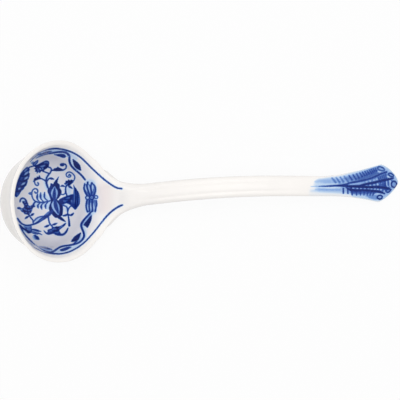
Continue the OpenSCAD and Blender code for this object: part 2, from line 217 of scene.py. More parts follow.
def field_normals(p, e=0.1):
    steps = e * np.eye(3)
    g = np.stack([bowl_field(p + v) - bowl_field(p - v) for v in steps], -1)
    return g / (np.linalg.norm(g, axis=-1, keepdims=True) + 1e-12)


# Rays from the middle of the body: where they start and end
START_R, END_R, PAST_NECK = BODY_R - WALL - 4, math.hypot(NECK_X, BODY_MID[2]) + 14, 4
FLAT_RAY, HALVINGS, LIP_HALVINGS = 0.3, 16, 18
LIFT_LOW, LIFT_HIGH = math.radians(2), math.radians(40)


def ray(turn, lift):
    """Directions by the turn round the mouth's axis and the lift above its plane."""
    flat = np.cos(turn)[..., None] * MOUTH_SIDE + np.sin(turn)[..., None] * np.array([0, 1.0, 0])
    return np.cos(lift)[..., None] * flat + np.sin(lift)[..., None] * MOUTH_AXIS


def crossing(d, start, sign, step=0.4):
    """Distance along each ray to the first point where sign times the field falls below zero, or -1."""
    past_neck = (NECK_X + PAST_NECK) / np.maximum(d[:, 0], FLAT_RAY)
    limit = np.where(d[:, 0] > FLAT_RAY, np.minimum(END_R, past_neck), END_R)
    r = np.array(start, float)
    found = np.full(len(d), -1.0)
    todo = np.arange(len(d))
    while len(todo):
        below = sign * bowl_field(BODY_MID + r[todo, None] * d[todo]) < 0
        found[todo[below]] = r[todo[below]]
        todo = todo[~below]
        r[todo] += step
        todo = todo[r[todo] <= limit[todo]]
    hit = found > 0
    lo, hi = found[hit] - step, found[hit].copy()
    for _ in range(HALVINGS):
        m = (lo + hi) / 2
        below = sign * bowl_field(BODY_MID + m[:, None] * d[hit]) < 0
        lo, hi = np.where(below, lo, m), np.where(below, m, hi)
    found[hit] = (lo + hi) / 2
    return found, limit


def first_hit(d):
    return crossing(d, np.full(len(d), START_R), 1)[0]


def lip_lifts(turn):
    """Greatest lift, for each turn, at which a ray still meets the clay."""
    lo, hi = np.full(len(turn), LIFT_LOW), np.full(len(turn), LIFT_HIGH)
    for _ in range(LIP_HALVINGS):
        m = (lo + hi) / 2
        hit = first_hit(ray(turn, m)) > 0
        lo, hi = np.where(hit, m, lo), np.where(hit, hi, m)
    return lo


# Meshes
def grid_faces(rows, columns):
    """Triangles of a grid of points, row after row, closed round its columns."""
    j, i = np.meshgrid(np.arange(rows - 1), np.arange(columns), indexing="ij")
    a, b = j * columns + i, j * columns + (i + 1) % columns
    c, d = a + columns, b + columns
    return np.concatenate([np.stack([a, c, b], -1).reshape(-1, 3), np.stack([b, c, d], -1).reshape(-1, 3)])


def fan_faces(middle, ring, flip):
    """Triangles from a point in the middle to the ring round it."""
    nxt = np.roll(ring, -1)
    faces = np.stack([np.full(len(ring), middle), ring, nxt], -1)
    return faces[:, ::-1] if flip else faces


def make_piece(name, points, faces, normals, material, nodes=(), values=None):
    """A piece of the ladle: a smooth mesh with its own normals and painted values, in metres."""
    mesh = bpy.data.meshes.new(name)
    low, high = np.array(cad_low), np.array(cad_high)
    mesh.from_pydata(np.clip(points * MM, low, high).tolist(), [], faces.tolist())
    mesh.polygons.foreach_set("use_smooth", np.ones(len(mesh.polygons), bool))
    for key, value in (values or {}).items():
        attribute = mesh.attributes.new(key, "FLOAT", "POINT")
        attribute.data.foreach_set("value", np.asarray(value, np.float32))
    mesh.update()
    if normals is not None:
        mesh.normals_split_custom_set_from_vertices(normals.tolist())
    piece = bpy.data.objects.new(name, mesh)
    bpy.context.scene.collection.objects.link(piece)
    piece.data.materials.append(material)
    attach(piece, "root")
    if nodes:
        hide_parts(*nodes)
    return piece


def cut_at_neck(points, faces):
    """The bowl's mesh with everything past the neck cut away and the cut closed."""
    bm = bmesh.new()
    verts = [bm.verts.new(p) for p in points]
    for f in faces.tolist():
        bm.faces.new([verts[k] for k in f])
    geom = bm.verts[:] + bm.edges[:] + bm.faces[:]
    bmesh.ops.bisect_plane(bm, geom=geom, plane_co=(NECK_X, 0, 0), plane_no=(1, 0, 0), clear_outer=True)
    rim = [e for e in bm.edges if e.is_boundary]
    bmesh.ops.edgeloop_fill(bm, edges=rim)
    bmesh.ops.triangulate(bm, faces=[f for f in bm.faces if len(f.verts) > 3])
    bm.verts.index_update()
    points = np.array([v.co for v in bm.verts])
    faces = np.array([[v.index for v in f.verts] for f in bm.faces])
    bm.free()
    return points, faces


def bowl_mesh(around=240, down=72, throat_crowd=math.radians(37), lip_crowd=0.2):
    """The bowl in rows from the inner pole over the lip to the outer pole, closer at throat and lip."""
    t = np.arange(around) / around
    turn = 2 * np.pi * t - throat_crowd * np.sin(2 * np.pi * t)
    lip = lip_lifts(turn)
    s = np.arange(1, down) / down
    share = (1 + lip_crowd) * s - lip_crowd * s**6
    lifts = -np.pi / 2 + (lip + np.pi / 2)[None] * share[:, None]
    d = ray(np.broadcast_to(turn, lifts.shape), lifts).reshape(-1, 3)
    a = first_hit(d)
    b, limit = crossing(d, a + 0.2, -1)
    b = np.where(b < 0, limit, b)
    edge = ray(turn, lip)
    lip_points = BODY_MID + first_hit(edge)[:, None] * edge
    inner = BODY_MID + a[:, None] * d
    outer = (BODY_MID + b[:, None] * d).reshape(down - 1, around, 3)[::-1].reshape(-1, 3)
    poles = [BODY_MID - (BODY_R - WALL) * MOUTH_AXIS, BODY_MID - BODY_R * MOUTH_AXIS]
    points = np.concatenate([inner, lip_points, outer, poles])
    rows = 2 * down - 1
    last = (rows - 1) * around + np.arange(around)
    faces = np.concatenate([
        grid_faces(rows, around),
        fan_faces(rows * around, np.arange(around), False),
        fan_faces(rows * around + 1, last, True)])
    return cut_at_neck(points, faces)


# Handle and fan end. The carving's depths are in millimetres, its plumes in pixels and its rings in shares of
# a bead.
PLUME_HALF, PLUME_POWER, PLUME_START, PLUME_RUN = 1.7, 1.5, FLARE_X - 14, 26
TICK_DEPTH, FINE_DEPTH, KNOB_HEIGHT, RING_DEPTH = 0.32, 0.22, 0.16, 0.3
OUTER_RING, INNER_RING, RING_WIDTH, EDGE_FADE = 1.14, 0.78, 0.14, 0.6


def lean(x):
    return FAN_LEAN * ease((x - FLARE_X) / (CORNER_X - FLARE_X))


def bead_place(x, y):
    """How far each pixel lies from the middle of the nearest bead, 1 at its edge."""
    r = []
    for bx, by, a, b, turn in FAN_BEADS:
        c, t = math.cos(math.radians(turn)), math.sin(math.radians(turn))
        r.append(np.hypot((c * (x - bx) + t * (y - by)) / a, (c * (y - by) - t * (x - bx)) / b))
    return np.min(r, 0)


def fan_relief(p):
    """Height of the carving on the fan: crowned plumes between grooves, cut barbs and ringed beads."""
    x, y = (v.ravel() for v in to_pixels(p))
    far = np.full(x.shape, 9.0)
    for groove in FAN_GROOVES:
        curve = smooth(groove, False)
        for a, b in zip(curve[:-1], curve[1:]):
            far = np.minimum(far, to_segment(x, y, a, b)[0])
    plume = 1 - np.exp(-((far / PLUME_HALF) ** PLUME_POWER))
    cut = covered([line(0, 0.5, a, b, soft=0.6) for a, b in UPPER_TICKS + LOWER_TICKS], x, y)
    fine = covered([line(0, 0.3, a, b, soft=0.5) for a, b in FINE_TICKS], x, y)
    knob = covered([line(0, 0.5, q, (q[0] + 0.5, q[1]), soft=0.7) for q in WHITE_DOTS], x, y)
    r = bead_place(x, y)

    def ring(at):
        return RING_DEPTH * np.exp(-(((r - at) / RING_WIDTH) ** 2))

    body = PLUME_HEIGHT * plume - TICK_DEPTH * cut - FINE_DEPTH * fine + KNOB_HEIGHT * knob - ring(OUTER_RING)
    bead = BEAD_HEIGHT * np.sqrt(np.maximum(0.25, 1.1 - r * r)) - ring(INNER_RING)
    grow = ease((p[..., 0].ravel() - PLUME_START) / PLUME_RUN)
    return (grow * np.where(r < 1, bead, body)).reshape(p.shape[:-1])


def flutes(x, y):
    """Depth of the two flutes along the shank."""
    fade = ease((x - NECK_X) / FLUTE_START) * ease((FLARE_X - x) / FLUTE_END)
    v = (np.abs(y) / half_w(x) - FLUTE_PLACE) / FLUTE_WIDTH
    return FLUTE_DEPTH * fade * np.exp(-v * v)


def handle_ring(x, top, under, relief):
    """Points across the handle at distances x, over the top and back underneath."""
    u = np.concatenate([np.arange(top) / top * 2 - 1, np.arange(under) / under * 2 - 1])
    over = np.arange(top + under) < top
    s = np.where(over, -np.sin(u * np.pi / 2), np.sin(u * np.pi / 2))
    x = np.broadcast_to(np.asarray(x, float)[:, None], (len(x), len(s)))
    y = half_w(x) * s
    z = half_t(x) * (1 - np.abs(s) ** SECTION_POWER) ** (1 / SECTION_POWER)
    points = np.stack([x + lean(x) * y, mid_y(x) + y, mid_z(x) + np.where(over, z, -z)], -1)
    carving = fan_relief(points) if relief else 0
    points[..., 2] += np.where(over, (carving - flutes(x, y)) * np.minimum(1, z / EDGE_FADE), 0)
    points[..., 2] = np.maximum(0, points[..., 2])
    return points


def loft(name, xs, top, under, relief, material, slot, node, values=None):
    """A closed length of the handle through rings at xs."""
    points = handle_ring(xs, top, under, relief)
    rows, columns = points.shape[:2]
    around = np.roll(points, -1, 1) - np.roll(points, 1, 1)
    lengthwise = np.gradient(points, axis=0)
    normals = np.cross(lengthwise, around)
    normals /= np.linalg.norm(normals, axis=-1, keepdims=True) + 1e-12
    ends = [points[0].mean(0), points[-1].mean(0)]
    first, last = np.arange(columns), (rows - 1) * columns + np.arange(columns)
    faces = np.concatenate([
        grid_faces(rows, columns),
        fan_faces(rows * columns, first, False),
        fan_faces(rows * columns + 1, last, True)])
    flat = np.concatenate([points.reshape(-1, 3), ends])
    normals = np.concatenate([normals.reshape(-1, 3), [[-1, 0, 0], [1, 0, 0]]])
    painted = values(flat) if values else None
    return make_piece(name, flat, faces, normals, material, (node,), painted)


# Painting: strokes in the photograph's pixels, each a line with half widths or a filled shape. A tone runs
# from 0 for bare clay to 1 for the thickest cobalt. Dark lines are wider by BRUSH, and edges a little ragged.
NAVY, DARK, MID, PALE = 0.98, 0.87, 0.73, 0.17
BRUSH, RAGGED = 0.26, 0.11


def line(tone, half, *points, soft=0.4):
    """A brushed line. Points may carry their own half width as a third number."""
    grow = BRUSH if tone > 0.5 else 0.0
    return ("line", tone, soft, [(p[0], p[1], (p[2] if len(p) > 2 else half) + grow) for p in points])


def shape(tone, *points, soft=0.4):
    """A filled shape with a rounded outline through the points."""
    return ("shape", tone, soft, [(p[0], p[1], 0.0) for p in points])


def leaf(tone, a, b, c, half, soft=0.4):
    """A pointed leaf from a through b to c."""
    return line(tone, half, (*a, 0.15), (*b, half), (*c, 0.1), soft=soft)


RIM_LINE = [
    line(PALE, 1.9, (37.7, 156), (44.6, 152.2), (53.6, 150.3), (60, 150.4), (66, 152), (70.6, 154.6),
         (76, 158.5), soft=1.2),
    line(PALE, 1.6, (46, 251), (52, 251.6), (60, 251.4), (68, 249.4), (75, 246.4), (80.5, 242), (85, 237),
         soft=1.2),
    line(0.95, 0.55, (43, 151.3, 0.1), (45.6, 150.2, 0.35), (49, 149.3, 0.5), (53.6, 148.6), (57.7, 148.6),
         (63.8, 149.6), (70.4, 151.6), (76.5, 154.6), (81.6, 158.2), (86.7, 163.1), (91.8, 168.2),
         (96.9, 173), (102, 177.6), (107.1, 181.7), (112.2, 185.3), (116.3, 187.6), (119, 188.4),
         (121.8, 188.6, 0.5)),
    line(0.93, 0.5, (45, 250.9, 0.1), (47, 251.9, 0.3), (50, 252.8), (55.1, 253.7), (60.2, 253.9),
         (65.3, 253), (70.4, 251.4), (75.5, 248.8), (80.6, 245.5), (85.7, 241.2), (89.8, 236.8),
         (93.9, 232.2), (98, 227.1), (102, 221.8), (106.1, 216.9, 0.6), (111.2, 211.8, 0.65),
         (116.3, 208, 0.65), (119.5, 206.2, 0.65), (122.4, 205)),
]

BORDER_VINES = [
    line(0.74, 0.15, (30.2, 162, 0), (33.5, 158.2), (37.7, 154.8), (41, 152.9, 0)),
    line(0.76, 0.2, (34.5, 244.2, 0), (38, 246.8), (41.5, 249), (44.6, 250.6, 0)),
    shape(0.3, (46, 152.2), (52, 151), (58, 150.6), (64, 151), (68, 152.8), (63, 151.6), (56, 152.2),
          (50, 153.1), soft=0.6),
    line(0.9, 0, (38.6, 155.4), (42, 153.8, 0.45), (45.4, 152.6, 0.7), (48.4, 151.8, 0.5),
         (51.6, 151.2, 0.1)),
    line(DARK, 0.8, (36, 158.2, 0), (40, 156.2, 0.15), (44.6, 154.6, 0.3), (49.5, 153.5, 0.5),
         (54.5, 152.6, 0.7), (60.2, 151.9), (64.8, 152.3, 0.9), (67.8, 154, 0.95), (69.3, 156.7, 0.95),
         (69.4, 160.3, 0.95), (70.4, 164.1, 0.9), (73, 167.7, 0.85), (77, 171.2), (80.6, 174.4, 0.75),
         (83, 177), (85, 179.6, 0.7)),
    line(PALE, 1.5, (71.5, 160.5), (72.3, 164), (75, 167.6), (78.5, 170.6), soft=0.9),
    line(0.3, 0.5, (65.5, 156.3), (67.4, 156.4), (68.6, 156.3)),
    line(DARK, 1.5, (54.2, 154.5, 0.15), (57.5, 155, 0.8), (61, 155.4), (63.6, 156, 1.7), (65.2, 156.4, 0.6)),
    line(NAVY, 0.2, (72.9, 159.3), (74.5, 161.8, 1.3), (76.3, 164.5, 2.3), (78.3, 167, 2.1), (80.9, 170.3)),
    line(0.3, 0.35, (77.4, 169.6), (76.6, 170.6)),
    line(PALE, 1.6, (92, 214), (88.5, 217.8), (85, 221.6), (83, 225), (84.5, 229), (85.5, 234), (83, 239),
         (77, 243), soft=1.0),
    line(0.34, 0.9, (91, 214.6), (88, 218), (85.2, 221.6), (83, 224.6), soft=0.5),
    line(DARK, 0.75, (91.6, 211.3, 0.6), (88.8, 214.6), (85.4, 218.2), (82.6, 221.8, 0.9),
         (81.2, 225.1, 0.95), (82, 228.7, 0.9), (83.5, 232.2, 0.9), (84, 235.8, 0.9), (82.6, 239.3, 0.85),
         (79.4, 242.2), (74.5, 244.2), (69.4, 245.3), (64.3, 246), (60, 247.2), (56.8, 249.2), (53.6, 251.3),
         (50, 252, 0.6), (45, 250.9, 0.5), (41.5, 249, 0.3)),
    shape(NAVY, (91.4, 215.2), (91.7, 219.4), (89.8, 224), (87.6, 227.8), (85.4, 226.3), (83.6, 224.8),
          (86.4, 221)),
    shape(NAVY, (71, 241.8), (72.6, 238.6), (75.2, 235.8), (78.4, 233.7), (81.2, 232.7), (80.2, 236.6),
          (78.6, 240), (75.4, 241.6)),
    line(0.34, 0.7, (81, 234.8), (80.4, 238), (78.4, 240.9), (75, 242.7), soft=0.5),
    line(DARK, 0.5, (77, 241, 0.3), (74, 243.5)),
    line(DARK, 1.3, (60.4, 250.1, 0.5), (62.5, 249.9, 1.2), (65.4, 249), (68.2, 248, 0.9), (71, 247.2, 0.15)),
    line(DARK, 0.8, (39.6, 246.7, 0.3), (43.5, 247.6), (47.5, 248.6, 0.9), (51.8, 249.7, 0.25)),
    line(0.32, 0.6, (42, 248.5), (46.5, 249.9), (50.5, 250.8), soft=0.5),
]

BORDER_BUD = [
    line(PALE, 6.2, (90, 185), (90.5, 192), (91.4, 203), (91, 209), soft=1.4),
    shape(0.66, (84.6, 183.8), (86.2, 184.4), (87.8, 182.4), (89.6, 184.6), (91.8, 182.9), (94.3, 185),
          (95.8, 188.6), (95.6, 192), (94.4, 195.4), (90.5, 196.4), (86.8, 195.6), (85.1, 192), (83.9, 188)),
    line(0.28, 0.3, (85.5, 185.6), (85.7, 188.2, 0.8), (87, 191.4)),
    line(0.26, 0.3, (88.2, 184.8), (88.9, 188, 0.85), (90, 193.2)),
    line(0.24, 0.35, (92, 184.5), (92.7, 186.6, 0.85), (92.4, 190.8, 0.3)),
    line(DARK, 0.5, (84.7, 183.8, 0.4), (83.9, 187.8), (84.9, 191.8), (86.8, 195.4)),
    line(DARK, 0.5, (87.8, 182.2, 0.6), (87, 186.2), (88.4, 191, 0.4), (89.8, 195.4)),
    line(DARK, 0.5, (91.8, 182.8, 0.6), (90.8, 187), (91.6, 192, 0.4), (91.6, 195.4)),
    line(DARK, 0.5, (92.2, 183.2, 0.4), (94.8, 185.9), (95.7, 189), (95.2, 192.6), (94, 195.4)),
    shape(0.62, (86.8, 200), (90, 199.2), (93.6, 199.2), (96.6, 200.8), (96.8, 204), (96, 208), (95.2, 211.2),
          (94, 210.4), (92.9, 211.6), (90.6, 210.8), (89, 212), (87.3, 211.8), (86.1, 206)),
    line(0.28, 0.3, (87.8, 204.5), (87.9, 208, 0.8), (88.4, 210.8)),
    line(0.26, 0.3, (90.6, 203), (90.8, 207.5, 0.7), (91, 210)),
    line(0.28, 0.3, (93.4, 203.5), (93.9, 208, 0.8), (94, 210.2)),
    line(DARK, 0.45, (86.8, 200.4), (86, 205.4), (86.8, 210), (87.6, 212)),
    line(DARK, 0.45, (89.6, 200), (89.2, 206), (89.4, 211.6)),
    line(DARK, 0.45, (92.2, 200), (92.3, 206), (92.6, 211.4)),
    line(DARK, 0.45, (96.4, 200.6), (96.8, 204), (96, 208), (95.2, 211.4, 0.7)),
    line(DARK, 1.0, (86.4, 197.4), (91, 197.4), (96.4, 197)),
    line(DARK, 2.0, (87.4, 197.7), (87.6, 197.7)),
    line(DARK, 2.2, (91.7, 197.5), (91.9, 197.5)),
    line(DARK, 1.8, (96.1, 197.1), (96.3, 197.1)),
    line(0.3, 1.15, (87.4, 197.7), (87.6, 197.7)),
    line(0.22, 1.1, (91.7, 197.5), (91.9, 197.5)),
    line(0.24, 1.0, (96.1, 197.1), (96.3, 197.1)),
    line(MID, 0.35, (91.5, 197.6), (92.1, 197.6)),
]

BORDER_FRUIT = [
    shape(DARK, (26.3, 167.2), (28.8, 167.5), (29.8, 169.8), (28.8, 172.3), (29.7, 174.8), (29.1, 177.6),
          (27.7, 179.4), (27.5, 182.2), (26.4, 185.2), (24.9, 186.8), (23.4, 189.4), (21.4, 191),
          (19.8, 193.8), (18, 196.2), (16, 197.2), (14.6, 195), (15, 190), (16.4, 184), (18.6, 178),
          (21.4, 172.2)),
    line(0.5, 0.4, (24.4, 171.6), (25.8, 170, 0.7), (27.4, 169, 0.3)),
    line(0.36, 0.4, (24.6, 174.8), (26.4, 173.2, 1.0), (28.2, 171.6)),
    line(0.38, 0.3, (24.2, 179.4), (26.2, 178, 0.95), (27.6, 176.9, 0.4)),
    line(0.36, 0.3, (21.4, 184.8), (23.4, 183.8, 1.0), (25, 182.6, 0.4)),
    line(0.36, 0.4, (18.6, 189.4), (19.4, 188.6, 0.85), (20.6, 187.6, 0.3)),
    line(MID, 0.5, (21.2, 179.5), (22.6, 176.6, 0.8), (24, 177.2, 0.4)),
    line(MID, 0.5, (17.2, 192), (17.6, 194, 0.8), (17, 195.6, 0.4)),
    line(NAVY, 0.35, (20.6, 175.4), (23.4, 176.6), (26, 175.4), (29.2, 173.6)),
    line(NAVY, 0.35, (19, 180.6), (22.2, 181.6), (25, 180.6), (28, 179)),
    line(NAVY, 0.35, (17.4, 186), (20, 187), (23, 186), (26, 184)),
    line(NAVY, 0.35, (16, 191.4), (18.4, 191.6), (21, 190)),
    line(DARK, 0.4, (29.2, 167.3), (31.6, 166.4), (34.4, 165.9)),
]

CENTRE_BLOSSOM = [
    line(PALE, 4, (50, 200), (48.6, 206), (47.6, 202), soft=1.4),
    shape(NAVY, (58.9, 176.4), (58.2, 179.4), (57.6, 182.6), (59.6, 184.6), (59.9, 188), (61.7, 191.1),
          (61, 194.4), (59, 197.8), (57.2, 199.8), (58.8, 200.8), (62.2, 204.4), (63, 208.2), (62.8, 213),
          (61.6, 216), (57.2, 217), (54.6, 216.4), (51.8, 214.4), (49.2, 210.2), (49.2, 206.2), (50.8, 201.8),
          (50.4, 199.2), (49.2, 195.8), (47.6, 192), (47.8, 188.8), (49.8, 187), (50.8, 183.2), (53, 184),
          (54.2, 181.8), (56.6, 179)),
    line(DARK, 0.6, (52, 185), (50.6, 188.6, 1.2), (50, 193, 0.9), (51, 198, 0.4)),
    shape(0.38, (54.7, 186.4), (56.8, 189.4), (57.8, 193), (57, 197), (54.8, 200.6), (52.4, 197.4),
          (51, 193.2), (52.2, 189.4)),
    line(0.3, 0.3, (53, 189.6), (52, 193, 0.7), (52.6, 196.8, 0.4)),
    line(0.34, 0.3, (56.6, 189.6), (57, 193, 0.5), (56.4, 196.8)),
    line(0.84, 0.2, (54.7, 187.8), (54.4, 191.6, 1.1), (54.2, 195.4, 1.6), (54.5, 200.6, 0.8)),
    shape(0.4, (54.9, 199.6), (57.2, 202), (59.2, 205.4), (59.7, 210), (58.4, 215), (55.4, 212.4),
          (52.4, 208.8), (51.4, 204.6), (52.8, 201.6)),
    line(0.3, 0.3, (53.2, 202.4), (52.5, 205, 0.7), (53.8, 208.8, 0.6), (56.8, 213.2)),
    line(0.84, 0.7, (55, 200), (55.3, 203.4, 1.5), (56.2, 207.4, 1.6), (57.4, 210.6, 1.1),
         (58.3, 213.4, 0.2)),
    line(NAVY, 0.9, (56.8, 216), (60.4, 218.2, 1.3), (63, 220), (65.4, 221.6, 0.2)),
    line(NAVY, 0.5, (53.4, 215.2), (55.8, 216.8, 0.8), (57.4, 216.8, 0.3)),
    shape(0.9, (58.6, 200.2), (61.4, 198), (66.8, 195.8), (72.8, 194), (74.6, 196), (74.4, 204), (72, 206.8),
          (69.8, 204.8), (66.4, 203.4), (63.6, 204.4), (61, 204)),
    line(0.7, 0.4, (63.4, 200.8), (65.4, 201.2, 0.8), (67, 200.8)),
    line(0.68, 0.3, (66, 198.6), (68.6, 197.8, 0.6), (70.4, 198)),
    line(0.66, 0.3, (70.6, 200.4), (72.2, 201.4, 0.8), (72.8, 204, 0.4)),
    line(NAVY, 0.4, (67, 201.8), (69.6, 200.6, 0.7), (71, 197.6)),
    shape(DARK, (73.5, 184.8), (75, 187), (76.6, 189), (78.8, 192.6), (79.9, 196.8), (80, 203), (78.2, 206.6),
          (75.3, 209.8), (72.8, 207.6), (71.7, 206.6), (72.4, 203), (72.8, 197), (73.6, 191)),
    line(0.66, 0.2, (74.2, 188.6), (74.6, 194, 0.6), (74.6, 199, 0.6), (74, 203)),
    line(0.7, 0.2, (76.4, 191.4), (76.8, 197, 0.5), (76.4, 204.6)),
    line(0.66, 0.2, (78.2, 193.8), (78.9, 198, 0.7), (78.5, 203.4)),
    line(NAVY, 0.35, (75.4, 188.6), (75.9, 195), (75.6, 203), (75.2, 207)),
    line(NAVY, 0.35, (77.4, 191.6), (77.9, 197), (77.4, 204.6)),
]

